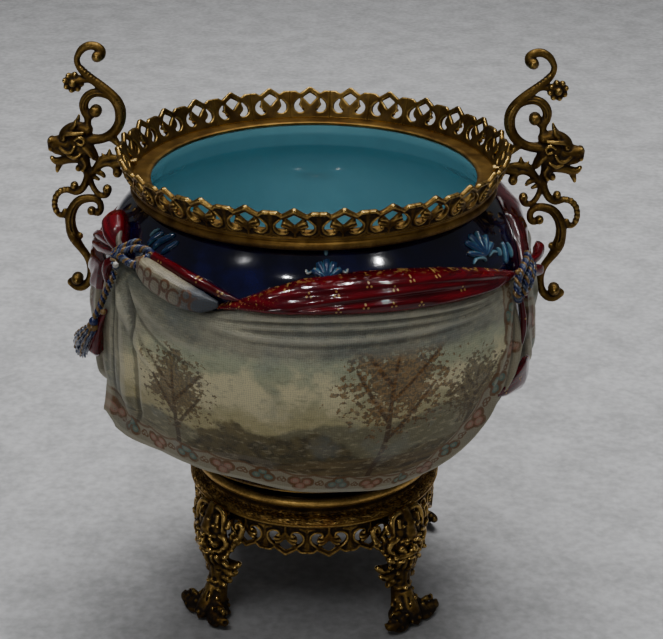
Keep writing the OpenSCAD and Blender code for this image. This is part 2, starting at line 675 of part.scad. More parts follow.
// Ends of the scrolls
scroll_balls = [[157.4, 427.9, 5], [161.2, 386.4, 5.4], [180.8, 328, 3.6], [147.6, 339, 3.8],
    [155.8, 325.2, 3.8], [168.4, 307.8, 3.6], [182.6, 252, 6], [141.6, 347.6, 3.9], [163.8, 351, 2.9]];
// Skull, muzzle, nose, lower jaw, beard and nape of the beast, which looks away from the bowl
head_strokes = [[[176.4, 364, 9.4], [171.8, 359, 7.6]], [[184.4, 361.6, 6.2], [193.6, 360.8, 5.2]],
    [[195.2, 362.6, 3.6], [195.4, 357.4, 3]], [[175, 372, 4.6], [185, 368.4, 4.6]],
    [[178.4, 351.4, 5.6], [186, 348.2, 3.4]], [[186, 347.6, 2.9], [195.4, 348, 2]],
    [[190.4, 345.4, 2.5], [192.6, 338.6, 1.4]], [[170.4, 358.6, 3.8], [164, 352, 2.6]]];
ear_strokes = [[[171.6, 370.6, 2.8], [175.2, 380.6, 1.1]], [[169.4, 364, 3.2], [164.8, 357.4, 2]],
    [[182, 366.4, 3], [185.6, 366, 2.4]]];
flower_at = [176.6, 407.8, 0];
petals = 7;
petal_reach = 6.6;
petal_r = 3.2;
bar_steps = 1;
// The round bars are built up in slabs, each [where its outline is taken, half thickness]
slabs = [[0.8, 2.2], [3, 4.1], [5.6, 7.8]];

lug_up = 5;
lug_z = gallery_z + lug_up;
lug_x = gallery_r + gallery_lean * lug_up / gallery_h;
knuckle_z = gallery_z + gallery_h - 5;
// Room that the pad keeps from the gallery's wall, which isn't quite square to the handle
pad_gap = 1.15;

function slab_half(r, y) = r > y + 0.2 ? sqrt(r * r - y * y) : 0;
function along(p, i) = unit([for (c = [0, 1]) p[min(i + 1, len(p) - 1)][c] - p[max(i - 1, 0)][c]]);
function beside(p, i, w) = let (d = along(p, i)) [p[i][0] - w * d[1], p[i][1] + w * d[0]];
module stroke(path, y, steps = bar_steps) {
    p = spline(path, steps);
    for (i = [0 : len(p) - 2]) {
        a = slab_half(p[i][2], y);
        b = slab_half(p[i + 1][2], y);
        if (a > 0 && b > 0)
            polygon([beside(p, i, a), beside(p, i + 1, b), beside(p, i + 1, -b), beside(p, i, -a)]);
    }
    for (q = [p[0], p[len(p) - 1]]) knob(q, y);
}
module knob(q, y) {
    if (slab_half(q[2], y) > 0)
        translate([q[0], q[1]]) rotate(9) circle(slab_half(q[2], y), $fn = 10);
}
// Outline of the casting at distance y from its middle plane
module handle_outline(y) {
    offset(delta = 0.02)
    difference() {
        union() {
            for (p = [top_scroll, middle_scroll, neck, gallery_scroll, inner_branch, lower_stem, hoop])
                stroke(placed(p), y);
            for (p = concat([flower_stem, leaf_spike, small_curl], head_strokes)) stroke(placed(p), y, 1);
            for (b = placed(scroll_balls)) knob(b, y);
            flower = placed([flower_at])[0];
            translate([flower[0], flower[1]])
                for (k = [0 : petals - 1])
                    rotate(360 * (k + 0.3) / petals) {
                        knob([petal_reach, 0, petal_r], y);
                        stroke([[0, 0, petal_r], [petal_reach, 0, petal_r - 1]], y, 1);
                    }
            // pad that the screw pulls against the gallery, and knuckle that bears on its top
            stroke([[lug_x, lug_z, 4.2], [gallery_r + 13, gallery_z + 3, 3.4]], y, 1);
            stroke([[lug_x + 5, knuckle_z, 3], [gallery_r + 15, knuckle_z + 6, 3.2]], y, 1);
        }
        polygon([[0, gallery_z - 20], [gallery_r + pad_gap, gallery_z - 20], [gallery_r + pad_gap, gallery_z],
            [gallery_r + gallery_lean + pad_gap, gallery_z + gallery_h], [0, gallery_z + gallery_h]]);
    }
}
module slab(half) {
    rotate([90, 0, 0]) linear_extrude(2 * half, center = true) children();
}
module handle() {
    difference() {
        union() {
            for (l = slabs) slab(l[1] * handle_depth) handle_outline(l[0]);
            // ears, cheek tufts and eyes stand out at the sides of the skull
            for (s = [-1, 1])
                translate([0, s * 6.4 * handle_depth, 0])
                slab(2.6 * handle_depth)
                offset(delta = 0.02)
                for (p = ear_strokes) stroke(placed(p), 0, 1);
        }
        translate([lug_x, 0, lug_z])
        rotate([0, 90, 0])
        cylinder(h = 11, r = handle_screw_d / 2 + 0.35);
    }
}
module right_handle() { color(bronze) handle(); }
module left_handle() { color(bronze) rotate([0, 0, 180]) handle(); }

screw_inner_x = lug_x - gallery_t - 3.7;
module handle_screws() {
    head_h = 1.8;
    color(bronze)
    for (a = [0, 180])
        rotate([0, 0, a])
        translate([screw_inner_x, 0, lug_z])
        rotate([0, 90, 0])
        union() {
            cylinder(h = head_h, r = handle_screw_d * 0.9);
            cylinder(h = lug_x - screw_inner_x + 8, r = handle_screw_d / 2);
        }
}

bowl();
front_drape();
back_drape();
left_bow();
right_bow();
left_cord();
right_cord();
tassel();
shoulder_sprigs();
rim_collar();
gallery_section_1();
gallery_section_2();
gallery_section_3();
left_handle();
right_handle();
handle_screws();
stand_ring();
apron_front();
apron_right();
apron_back();
apron_left();
leg_front_left();
leg_front_right();
leg_back_left();
leg_back_right();
leg_screws();
cork_ring();
cross_bars();
tie_bolt();
leather_washer();
floor_washer();
under_washer();
tie_nut();
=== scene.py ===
import math
import bmesh
import bpy
import numpy as np
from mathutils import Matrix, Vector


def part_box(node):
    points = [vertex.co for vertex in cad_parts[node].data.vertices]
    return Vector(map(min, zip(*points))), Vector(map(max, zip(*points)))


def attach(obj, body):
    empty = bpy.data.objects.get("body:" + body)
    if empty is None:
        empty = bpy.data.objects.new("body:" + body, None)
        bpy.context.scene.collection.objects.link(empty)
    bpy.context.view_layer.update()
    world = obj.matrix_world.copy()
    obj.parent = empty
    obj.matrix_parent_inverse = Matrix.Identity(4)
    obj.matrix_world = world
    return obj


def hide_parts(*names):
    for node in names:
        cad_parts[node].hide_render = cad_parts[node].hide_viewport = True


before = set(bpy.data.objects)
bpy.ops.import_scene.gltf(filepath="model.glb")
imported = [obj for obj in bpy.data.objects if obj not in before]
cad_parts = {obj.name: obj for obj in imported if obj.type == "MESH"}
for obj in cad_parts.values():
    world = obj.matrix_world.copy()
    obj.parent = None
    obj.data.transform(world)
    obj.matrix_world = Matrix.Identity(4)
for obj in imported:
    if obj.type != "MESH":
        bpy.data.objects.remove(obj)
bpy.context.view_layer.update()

# The picture: a pale felt floor under wide soft lights, with a low window and small ceiling lamps
# that put the bright spots on the glaze. The camera stands where the photograph was taken from.

camera_at = (0.0685, -1.1699, 0.7451)
camera_down = 24.05
camera_turn = 2.7
camera_roll = 0.22
focal_share = 1660 / 663  # focal length over the width of the frame

lens = bpy.data.cameras.new("camera")
lens.sensor_width = 36
lens.lens = lens.sensor_width * focal_share
lens.clip_start = 0.05
camera = bpy.data.objects.new("camera", lens)
camera.location = camera_at
camera.rotation_euler = [math.radians(a) for a in (90 - camera_down, 0, camera_turn)]
camera.rotation_euler.rotate_axis("Z", math.radians(camera_roll))
bpy.context.scene.collection.objects.link(camera)
bpy.context.scene.camera = camera


def lamp(name, at, size, watts, aim=(0, 0, 0.25), in_gloss=True, in_matt=True):
    """A square soft light, turned towards a point, that glossy or matt surfaces can leave out."""
    data = bpy.data.lights.new(name, "AREA")
    data.size = size
    data.energy = watts
    made = bpy.data.objects.new(name, data)
    made.location = at
    made.visible_glossy, made.visible_diffuse = in_gloss, in_matt
    toward = np.array(aim) - np.array(at)
    flat = math.hypot(toward[0], toward[1])
    made.rotation_euler = (math.atan2(flat, -toward[2]), 0, math.atan2(toward[1], toward[0]) - math.pi / 2)
    bpy.context.scene.collection.objects.link(made)


lamp("overhead_softbox", (0.0, 0.75, 2.1), 1.7, 42, (0, 0, 0.1), in_gloss=False)
lamp("bright_ceiling", (0.1, 1.0, 2.4), 1.2, 12, (0, 0, 0.3))
lamp("front_fill", (-0.3, -1.3, 2.3), 1.0, 8, (0, 0, 0.25), in_gloss=False)
lamp("low_window", (-0.7, -2.4, 0.6), 0.5, 6, (0, 0, 0.25), in_matt=False)
lamp("light_in_the_bowl", (0.0, -0.14, 0.56), 0.16, 0.34, (0, 0.16, 0.36), in_gloss=False)
for i, (x, y) in enumerate([(-0.42, -1.35), (0.42, -1.35), (-1.05, -0.55), (1.05, -0.55), (0.0, -2.1),
                            (-0.75, 0.1), (-0.25, 0.1), (0.25, 0.1), (0.75, 0.1)]):
    lamp(f"ceiling_lamp_{i}", (x, y, 2.4), 0.05, 5.0, in_matt=False)

world = bpy.data.worlds.new("room")
bpy.context.scene.world = world
world.use_nodes = True
room_light = world.node_tree.nodes["Background"].inputs
room_light["Color"].default_value = (0.30, 0.31, 0.32, 1)
room_light["Strength"].default_value = 0.22


class Num:
    """A number that a shader works out at each point, with the usual sums."""

    def __init__(self, finish, socket):
        self.finish = finish
        self.socket = socket

    def calc(self, operation, *others):
        return self.finish.node("Math", {"operation": operation}, dict(enumerate([self, *others])))

    def __add__(self, other):
        return self.calc("ADD", other)

    def __sub__(self, other):
        return self.calc("SUBTRACT", other)

    def __rsub__(self, other):
        return self.finish.node("Math", {"operation": "SUBTRACT"}, {0: other, 1: self})

    def __mul__(self, other):
        return self.calc("MULTIPLY", other)

    def __truediv__(self, other):
        return self.calc("DIVIDE", other)

    def __pow__(self, power):
        return self.calc("POWER", power)

    def __neg__(self):
        return self * -1

    __radd__ = __add__
    __rmul__ = __mul__

    def abs(self):
        return self.calc("ABSOLUTE")

    def sin(self):
        return self.calc("SINE")

    def least(self, other):
        return self.calc("MINIMUM", other)

    def most(self, other):
        return self.calc("MAXIMUM", other)

    def wrap(self, period):
        """The value folded into -period/2 to period/2."""
        return self.calc("WRAP", period / 2, -period / 2)

    def rise(self, low, high):
        """0 below low, 1 above high and a soft step between; high may lie below low."""
        return self.finish.node("MapRange", {"interpolation_type": "SMOOTHSTEP"},
                                {"Value": self, "From Min": low, "From Max": high})


class Finish:
    """A material with one glossy or metal shader, and the nodes that vary it over the surface."""

    def __init__(self, name):
        self.material = bpy.data.materials.new(name)
        self.material.use_nodes = True
        self.tree = self.material.node_tree
        self.shader = self.tree.nodes["Principled BSDF"]
        self.where = self.node("TexCoord", out="Object")

    def node(self, kind, settings=None, inputs=None, out=0):
        made = self.tree.nodes.new("ShaderNode" + kind)
        for key, value in (settings or {}).items():
            if key == "stops":
                while len(made.color_ramp.elements) < len(value):
                    made.color_ramp.elements.new(0.5)
                for stop, (at, colour) in zip(made.color_ramp.elements, value):
                    stop.position = at
                    stop.color = (*colour, 1)
            else:
                setattr(made, key, value)
        for key, value in (inputs or {}).items():
            self.feed(made.inputs[key], value)
        return Num(self, made.outputs[out])

    def feed(self, socket, value):
        if isinstance(value, Num):
            self.tree.links.new(value.socket, socket)
        elif socket.type == "RGBA" and len(value) == 3:
            socket.default_value = (*value, 1)
        else:
            socket.default_value = value

    def spot(self, x, y, z=0.0):
        return self.node("CombineXYZ", inputs={0: x, 1: y, 2: z})

    def noise(self, size, detail, at=None):
        """Cloudy noise from 0 to 1; size is in millimetres on Object coordinates."""
        scale = 1000 / size if at is None else 1 / size
        return self.node("TexNoise", {"noise_dimensions": "3D"},
                         {"Vector": at or self.where, "Scale": scale, "Detail": detail, "Roughness": 0.55})

    def chart(self, name):
        """A UV map's two coordinates in millimetres; the map itself holds them in decimetres."""
        parts = self.node("SeparateXYZ", inputs={0: self.node("UVMap", {"uv_map": name})})
        return [Num(self, parts.socket.node.outputs[i]) * 100.0 for i in range(2)]

    def attribute(self, name):
        return self.node("Attribute", {"attribute_name": name}, out="Fac")

    def mix(self, share, first, second):
        return self.node("Mix", {"data_type": "RGBA"}, {0: share, 6: first, 7: second}, out=2)

    def bump(self, height, depth, strength=1.0):
        """A normal from a height of 0 to 1 that stands for depth millimetres."""
        return self.node("Bump", inputs={"Height": height, "Distance": depth / 1000, "Strength": strength})

    def shade(self, **sockets):
        """Sets the shader's sockets; a name's underscores stand for spaces."""
        for key, value in sockets.items():
            self.feed(self.shader.inputs[key.replace("_", " ").title().replace("Ior", "IOR")], value)
        return self.material


floor_finish = Finish("floor_grey")
felt = floor_finish.noise(8, 3) * 0.5 + floor_finish.noise(45, 3) * 0.5
floor_grey = floor_finish.mix(felt.rise(0.28, 0.72), (0.37, 0.37, 0.375), (0.60, 0.60, 0.61))
floor_finish.shade(base_color=floor_grey, roughness=0.95, normal=floor_finish.bump(felt, 0.8))
bpy.ops.mesh.primitive_plane_add(size=14, location=(0, 2, 0))
floor = bpy.context.object
floor.name = "floor"
floor.data.materials.append(floor_finish.material)

# The bowl: thrown and turned earthenware, deep cobalt glaze outside and turquoise inside. It
# stands by its foot in the ring and is held down by a bolt through the hole in its floor.

bowl_low, bowl_high = (corner * 1000 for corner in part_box("bowl"))
foot_z, rim_z, belly_r = bowl_low.z, bowl_high.z, bowl_high.x
foot_r, neck_r, mouth_r = 85.5, 127.0, 121.5
bolt_hole_r = 4.5
foot_rise, belly_h, neck_h = 8, 132, 225
wall, floor_t = 8, 12
under_curve = [(0.03, 0.1), (0.11, 0.29), (0.33, 0.62), (0.64, 0.905), (1, 1)]
over_curve = [(0.28, 0.96), (0.56, 0.82), (0.77, 0.57), (0.92, 0.21), (1, 0)]


def spline(points, steps=6):
    """A smooth curve through rows of numbers, steps to a span."""
    p = np.array(points, float)
    ends = np.vstack([p[:1], p, p[-1:]])
    rows = []
    for i in range(len(p) - 1):
        a, b, c, d = ends[i:i + 4]
        for t in np.arange(steps) / steps:
            rows.append(0.5 * (2 * b + (c - a) * t + (2 * a - 5 * b + 4 * c - d) * t**2
                               + (3 * b - a - 3 * c + d) * t**3))
    return np.array([*rows, p[-1]])


def mix(a, b, t):
    """The value at a share t of the way from a to b."""
    return a + (b - a) * t


side = spline([(foot_r, foot_z + foot_rise)]
              + [(mix(foot_r, belly_r, r), foot_z + mix(foot_rise, belly_h, h)) for h, r in under_curve]
              + [(mix(belly_r, neck_r, 1 - r), foot_z + mix(belly_h, neck_h, h)) for h, r in over_curve], 9)


def bowl_r(z):
    """The bowl's outer radius at a height."""
    return np.interp(z, side[:, 1], side[:, 0])


def on_bowl(az, z, out):
    """Points out mm off the bowl's side, at degrees az from the front towards the right."""
    turn = np.radians(az) - math.pi / 2
    r = bowl_r(z) + out
    return np.stack([r * np.cos(turn), r * np.sin(turn), z + 0 * r], -1)


def put(name, points, faces, material, slot, *stands_for, charts=None, marks=None, crease=40):
    """Makes a piece from points in mm, gives it its finish and sets it in the place of CAD nodes."""
    mesh = bpy.data.meshes.new(name)
    points = np.asarray(points, float).reshape(-1, 3) / 1000
    faces = np.asarray(faces, np.int32)
    mesh.vertices.add(len(points))
    mesh.vertices.foreach_set("co", points.astype(np.float32).ravel())
    mesh.loops.add(faces.size)
    mesh.loops.foreach_set("vertex_index", faces.ravel())
    mesh.polygons.add(len(faces))
    mesh.polygons.foreach_set("loop_start", np.arange(len(faces), dtype=np.int32) * faces.shape[1])
    mesh.update(calc_edges=True)
    for key, values in (charts or {}).items():
        layer = mesh.uv_layers.new(name=key)
        flat = np.asarray(values, np.float32).reshape(-1, 2)[faces.ravel()] / 100
        layer.uv.foreach_set("vector", flat.ravel())
    for key, values in (marks or {}).items():
        mesh.attributes.new(key, "FLOAT", "POINT").data.foreach_set("value", np.asarray(values, np.float32).ravel())
    mesh.shade_smooth()
    mesh.set_sharp_from_angle(angle=math.radians(crease))
    made = bpy.data.objects.new(name, mesh)
    bpy.context.scene.collection.objects.link(made)
    made.data.materials.append(material)
    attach(made, "root")
    if stands_for:
        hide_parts(*stands_for)
    return made


def grid_faces(rows, columns, wrap_rows=False, wrap_columns=False):
    """Quads over a grid of points that runs row by row."""
    i = np.arange(rows if wrap_rows else rows - 1)
    j = np.arange(columns if wrap_columns else columns - 1)
    i, j = np.meshgrid(i, j, indexing="ij")
    up, right = (i + 1) % rows, (j + 1) % columns
    quads = np.stack([i * columns + j, i * columns + right, up * columns + right, up * columns + j], -1)
    return quads.reshape(-1, 4)


def lathe(profile, turns):
    """A closed outline of (radius, height) turned about the middle of the stand."""
    profile = np.asarray(profile, float)
    turn = np.linspace(0, 2 * math.pi, turns, endpoint=False)
    r, z = profile[:, 0:1], profile[:, 1:2]
    points = np.stack([r * np.cos(turn), r * np.sin(turn), z + 0 * turn], -1)
    return points, grid_faces(len(profile), turns, True, True)[:, ::-1]


along_side = np.gradient(side, axis=0)
along_side /= np.linalg.norm(along_side, axis=1)[:, None]
inner = side + wall * np.stack([-along_side[:, 1], along_side[:, 0]], 1)
floor_top = foot_z + floor_t
inner = inner[(inner[:, 1] > floor_top + 2) & ((inner[:, 1] < foot_z + belly_h) | (inner[:, 0] > mouth_r + 2))]
inner = inner[inner[:, 1] < rim_z - 19]
mouth = spline([(mouth_r, rim_z - 3), (mouth_r + 0.8, rim_z - 7), (mouth_r + 3.4, rim_z - 12), inner[-1]], 4)
bowl_outside = [(bolt_hole_r, floor_top), (bolt_hole_r, foot_z + 5), (foot_r - 12, foot_z + 5), (foot_r - 9, foot_z),
                (foot_r, foot_z), *side, (neck_r, rim_z - 1), (neck_r - 1, rim_z)]
bowl_inside = [(mouth_r + 1, rim_z), (mouth_r, rim_z - 1), *mouth[:-1], *inner[::-1], (foot_r - 6, floor_top),
               (bolt_hole_r + 1, floor_top)]
bowl_turns = 220
bowl_points, bowl_faces = lathe(bowl_outside + bowl_inside, bowl_turns)
inside = np.repeat([0.0] * len(bowl_outside) + [1.0] * len(bowl_inside), bowl_turns)

glaze = Finish("cobalt_and_turquoise_glaze")
pool = glaze.noise(26, 4)
cobalt = glaze.mix(pool.rise(0.42, 0.72), (0.0022, 0.0024, 0.020), (0.0060, 0.0062, 0.075))
cobalt = glaze.mix(glaze.noise(60, 2).rise(0.55, 0.8) * 0.5, cobalt, (0.012, 0.003, 0.022))
turquoise = glaze.mix(pool, (0.130, 0.330, 0.390), (0.170, 0.390, 0.450))
speck = glaze.noise(1.3, 2).rise(0.74, 0.80)
turquoise = glaze.mix(speck * 0.25, turquoise, (0.06, 0.20, 0.22))
within = glaze.attribute("inside")
ripple = glaze.noise(9, 2) * 0.6 + glaze.noise(2.0, 2) * 0.12
glaze_material = glaze.shade(
    base_color=glaze.mix(within.rise(0.4, 0.6), cobalt, turquoise), roughness=0.05 + 0.07 * glaze.noise(14, 2),
    coat_weight=0.8, coat_roughness=0.04, normal=glaze.bump(ripple, 0.18, 0.4))
put("glazed_bowl", bowl_points, bowl_faces, glaze_material, "dark_glaze", "bowl", marks={"inside": inside})

# The big cloth over the front: a relief of the same clay, 4 to 8 mm proud of the bowl and painted
# like canvas. It hangs in swags from two knots and ends in a border of trefoils.

cloth_from, cloth_to = -64, 66
cloth_thick, edge_round = 4.4, 3.0
degree = 2.85  # millimetres along the belly for each degree
top_line = [(-64, 300), (-58, 303), (-50, 303), (-40, 298), (-30, 293), (-22, 292), (-14, 299), (0, 300),
            (19, 299), (30, 298), (41, 296), (52, 294), (61, 291), (66, 288)]
hem_line = [(-64, 176), (-61, 167), (-57, 162), (-48, 160), (-34, 159.5), (-18, 156), (-1, 148.5), (14, 142.5),
            (30, 139), (38, 142), (44, 150), (49, 165), (53, 180), (57, 197), (62, 218), (66, 240)]
# how far the hem swings out
hem_swing = [(-64, 20), (-60, 22), (-54, 19), (-45, 13), (-34, 10), (0, 9), (33, 8), (45, 9), (55, 8), (66, 3)]
# folds: points of the ridge, its half width and its height; a valley has a negative height
swags = [
    ([(-20, 290), (-8, 293), (8, 293.5), (26, 291.5), (44, 288.6), (62, 288)], 2.2, 1.7),
    ([(-24, 285), (-8, 287.4), (8, 288), (26, 286.4), (44, 284.4), (63, 287)], 1.6, 1.2),
    ([(-27, 287), (-16, 281.5), (0, 279.4), (16, 279.4), (34, 279.6), (50, 280.6), (64, 286)], 2.8, 1.9),
    ([(-20, 275.6), (0, 272), (20, 271.6), (38, 273), (54, 277), (64, 284)], 3.4, 1.0),
    ([(-16, 267), (4, 264), (24, 265), (44, 270), (58, 278)], 5.0, 0.8),
    ([(-22, 289), (-6, 290), (12, 290.6), (30, 289), (48, 286.4)], 1.3, -1.0),
    ([(-58, 292), (-53, 283), (-48.5, 268), (-44, 252), (-38, 238)], 3.4, 2.9),
    ([(-56, 295), (-48, 287), (-40, 278), (-30, 268), (-20, 262)], 4.2, 1.7),
    ([(-53, 296), (-48.6, 284), (-46.6, 262), (-46.4, 232), (-49, 200), (-53, 176)], 2.4, -3.6),
    ([(-55, 296), (-51.6, 280), (-50.6, 256), (-51, 228), (-54, 200), (-57, 178)], 5.4, 3.4),
    ([(-58, 290), (-56.4, 262), (-57.6, 228), (-60, 196)], 2.0, -2.2),
    ([(-62.6, 292), (-62.8, 268), (-62.8, 240), (-62.4, 205), (-61.6, 180)], 3.6, 2.0),
    ([(-50, 283), (-42, 268), (-33, 256), (-24, 248)], 2.6, -1.1),
    ([(64, 284), (60, 262), (57, 236), (52, 205)], 3.6, 1.7),
    ([(66, 284), (63.6, 262), (61.4, 236), (57.6, 205), (54, 180)], 2.6, -1.7),
    ([(61, 284), (52, 266), (44, 254), (34, 246)], 6.0, 1.2)]
surface_run = np.concatenate([[0], np.cumsum(np.hypot(*np.diff(side, axis=0).T))])


def up_side(z):
    """Length along the bowl's side from the foot to a height."""
    return np.interp(z, side[:, 1], surface_run)


def nearest(x, z, line):
    """How far points are from a line, and how far along the line the nearest place is."""
    line = np.asarray(line, float)
    best, along, start = np.full(np.shape(x), 1e9), np.zeros(np.shape(x)), 0.0
    for p, q in zip(line[:-1], line[1:]):
        step = q - p
        length = np.hypot(*step)
        t = np.clip(((x - p[0]) * step[0] + (z - p[1]) * step[1]) / length**2, 0, 1)
        far = np.hypot(x - p[0] - t * step[0], z - p[1] - t * step[1])
        along = np.where(far < best, start + t * length, along)
        best = np.minimum(far, best)
        start += length
    return best, along


def folds(az, z, rows):
    """The height that a list of ridges and valleys adds at each place."""
    total = 0
    for points, half, height in rows:
        line = spline([(a * degree, h) for a, h in points], 5)
        far, along = nearest(az * degree, z, line)
        share = along / np.hypot(*np.diff(line, axis=0).T).sum()
        total = total + height * np.exp(-(far / half)**2) * np.clip(np.minimum(share, 1 - share) * 6, 0.12, 1)
    return total


def relief(az, z, out, back):
    """A closed slab over the bowl: its rows run upwards and its columns to the right."""
    rows, columns = az.shape
    points = np.concatenate([on_bowl(az, z, out).reshape(-1, 3), on_bowl(az, z, back).reshape(-1, 3)])
    front = grid_faces(rows, columns)
    number = np.arange(rows * columns).reshape(rows, columns)
    rim = np.concatenate([number[0, :-1], number[:-1, -1], number[-1, :0:-1], number[:0:-1, 0]])
    after = np.roll(rim, -1)
    side_faces = np.stack([after, rim, rim + rows * columns, after + rows * columns], -1)
    return points, np.concatenate([front, front[:, ::-1] + rows * columns, side_faces])


def twice(values):
    """The same value for the front and for the back of a slab."""
    return np.concatenate([values.reshape(-1, values.shape[-1] if values.ndim > 2 else 1)] * 2)


def rounded(far, radius):
    """1 inside, falling to 0 over a round edge."""
    return np.sqrt(np.clip(1 - (1 - np.clip(far / radius, 0, 1))**2, 0, 1))


def height_at(az, line):
    """The second number of a line of points, at each place along its first."""
    return np.interp(az, *np.array(line, float).T)


def hung(left, right, top, hem, columns, rows):
    """Azimuths and heights of a cloth's points, and how far each lies from its edge in mm."""
    az = np.linspace(left, right, columns)
    top_z, hem_z = height_at(az, top), height_at(az, hem)
    share = np.linspace(0, 1, rows)[:, None]
    z = hem_z + (top_z - hem_z) * share
    az = az + 0 * share
    outline = np.array([*hem, top[-1]], float)
    line = np.stack([outline[:, 0] * degree, up_side(outline[:, 1])], 1)
    far, along = nearest(az * degree, up_side(z), line)
    return az, z, far, along, top_z + 0 * share


def corner_flare(az, z, left, right, middle, height):
    """How far the hanging corners stand off the bowl."""
    wide, tall = 17, 50  # degrees, and millimetres of height
    near = np.clip(1 - np.minimum(np.abs(az - left), np.abs(az - right)) / wide, 0, 1)
    low = np.clip(1 - np.abs(z - middle) / tall, 0, 1)
    return height * (3 - 2 * near) * near**2 * (3 - 2 * low) * low**2


az, z, edge, along_edge, cloth_top = hung(cloth_from, cloth_to, top_line, hem_line, 290, 124)
out = (cloth_thick + folds(az, z, swags) + corner_flare(az, z, cloth_from, cloth_to, 205, 3)
       + 1.4 * np.sin(along_edge / 13) * np.exp(-edge / 14))
swing_height = 32
swing = height_at(az, hem_swing) * np.clip(1 - (z - height_at(az, hem_line)) / swing_height, 0, 1) ** 1.5
cloth_back = np.maximum(0.4, swing - 1.5)
out = np.maximum(out + swing, 2.4) * (0.35 + 0.65 * rounded(np.minimum(edge, cloth_top - z + 1), edge_round))
cloth_points, cloth_faces = relief(az, z, out, np.minimum(cloth_back, out - 0.8))
chart_foot = 131  # height at which the cloth's colours are measured from
canvas_chart = np.stack([az * degree, z - chart_foot], -1)
border_chart = np.stack([along_edge, edge], -1)


def weave(finish, x, y):
    """Threads of a coarse canvas, about 1.6 mm apart, from 0 in the gaps to 1 on the threads."""
    slubs = finish.noise(5.0, 3) * 7.0
    return (x * 2.0 + slubs).sin().abs() * 0.5 + (y * 2.0 + slubs).sin().abs() * 0.5


def standing_proud(out):
    """How far each place stands above the cloth around it, about -1 to 1."""
    soft = out
    for _ in range(7):
        soft = (soft + np.roll(soft, 1, 0) + np.roll(soft, -1, 0)) / 3
        soft = (soft + np.roll(soft, 1, 1) + np.roll(soft, -1, 1)) / 3
    return np.clip((out - soft) / 0.55, -1, 1)


def folded(finish, colour, grain):
    """Painted shade in the fold valleys and thread gaps, and a painted highlight on the ridges."""
    shadow, light = (0.030, 0.027, 0.020), (0.66, 0.62, 0.48)
    proud = finish.attribute("proud") + finish.noise(3, 3) * 0.5 - 0.25
    colour = finish.mix((1 - grain.rise(0.25, 0.85)) * 0.22, colour, shadow)
    colour = finish.mix(proud.rise(0.0, -0.85) * 0.52, colour, shadow)
    return finish.mix(proud.rise(0.15, 0.95) * 0.42, colour, light)


def distance(x, y):
    """How far the place (x, y) lies from (0, 0)."""
    return (x ** 2 + y ** 2) ** 0.5


def trefoil(x, y, size):
    """Below 0 inside a rounded three-lobed shape around the origin."""
    left, right, top = (distance(x - size * dx, y - size * dy) - size * r
                        for dx, dy, r in ((-0.62, -0.1, 0.6), (0.62, -0.1, 0.6), (0, 0.62, 0.62)))
    return left.least(right).least(top)


def painted_border(finish, picture, along, across, width, tints):
    """The hem's pale band with big and small trefoils, and a line along its inner edge."""
    wobble = finish.noise(6, 2) * 2.4 - 1.2
    along, across = along + wobble, across + wobble * 0.5
    pale, rose, teal, brown = tints
    band = across.rise(width + 0.6, width - 0.6)
    mid = across - width * 0.60
    big = trefoil(along.wrap(62), -mid, 7.8)
    other = trefoil((along + 31).wrap(62), mid, 7.8)
    small = trefoil((along + 15.5).wrap(31), mid, 2.8)
    ground = finish.mix(finish.noise(9, 4) * 0.7, pale, [c * 0.66 for c in pale])
    ground = finish.mix(big.rise(0.4, -0.6) * 0.85, ground, rose)
    ground = finish.mix(other.rise(0.4, -0.6) * 0.85, ground, teal)
    ground = finish.mix((big + 2.8).rise(0.4, -0.6).most((other + 2.8).rise(0.4, -0.6)) * 0.5, ground, pale)
    lines = big.abs().rise(1.9, 0.8).most(other.abs().rise(1.9, 0.8)).most(small.abs().rise(1.2, 0.4))
    ground = finish.mix(lines * finish.noise(4, 2).rise(0.15, 0.5) * 0.92, ground, brown)
    scallop = (along * 0.112).sin().abs() * 3.2
    guard = (across - width - 0.6 + scallop).abs().rise(1.9, 0.6)
    result = finish.mix(band, picture, ground)
    return finish.mix(guard * 0.75, result, brown)


canvas = Finish("painted_canvas_relief")
u, v = canvas.chart("cloth")
s, t = canvas.chart("border")
brush = canvas.noise(11, 4)
fine = canvas.noise(3.2, 4)
broad = canvas.noise(46, 3)
drift = canvas.noise(24, 5)
sky = canvas.mix((v + brush * 22).rise(88, 150), (0.690, 0.600, 0.300), (0.500, 0.545, 0.360))
cloud = (drift * 0.6 + broad * 0.6 + (v - 108).abs() * -0.006).rise(0.49, 0.62)
sky = canvas.mix(cloud * 0.9, sky, (0.980, 0.880, 0.530))
sky = canvas.mix((v + drift * 26).rise(128, 165), sky, (0.660, 0.680, 0.470))
# far hills, woods, meadow and water, one behind the other
hills = 74 + 10 * (u * 0.021).sin() + 5 * (u * 0.057 + 1.3).sin() + brush * 7
picture = canvas.mix((hills - v).rise(-1.5, 2.5) * 0.8, sky, (0.185, 0.180, 0.105))
woods = 62 + 16 * (u * 0.031 + 2.4).sin() + 7 * (u * 0.083).sin() + canvas.noise(15, 5) * 30 - 12
wood_tone = canvas.mix(canvas.noise(7, 5).rise(0.3, 0.7), (0.046, 0.036, 0.013), (0.220, 0.165, 0.058))
picture = canvas.mix((woods - v).rise(-2.5, 3.5) * 0.88, picture, wood_tone)
meadow = 44 + 5 * (u * 0.026 + 0.6).sin() + brush * 6
streak = canvas.noise(1, 4, at=canvas.spot(u * 0.03, v * 0.24, 4.2))
grass = canvas.mix(streak.rise(0.3, 0.7), (0.075, 0.047, 0.015), (0.285, 0.200, 0.078))
picture = canvas.mix((meadow - v).rise(-1.2, 2.0), picture, grass)
river = (v - (44 - (u + 118) * 0.16)).abs() - (7 + (u + 60) * -0.06)
ripple = canvas.noise(1, 3, at=canvas.spot(u * 0.02, v * 0.45, 1.7))
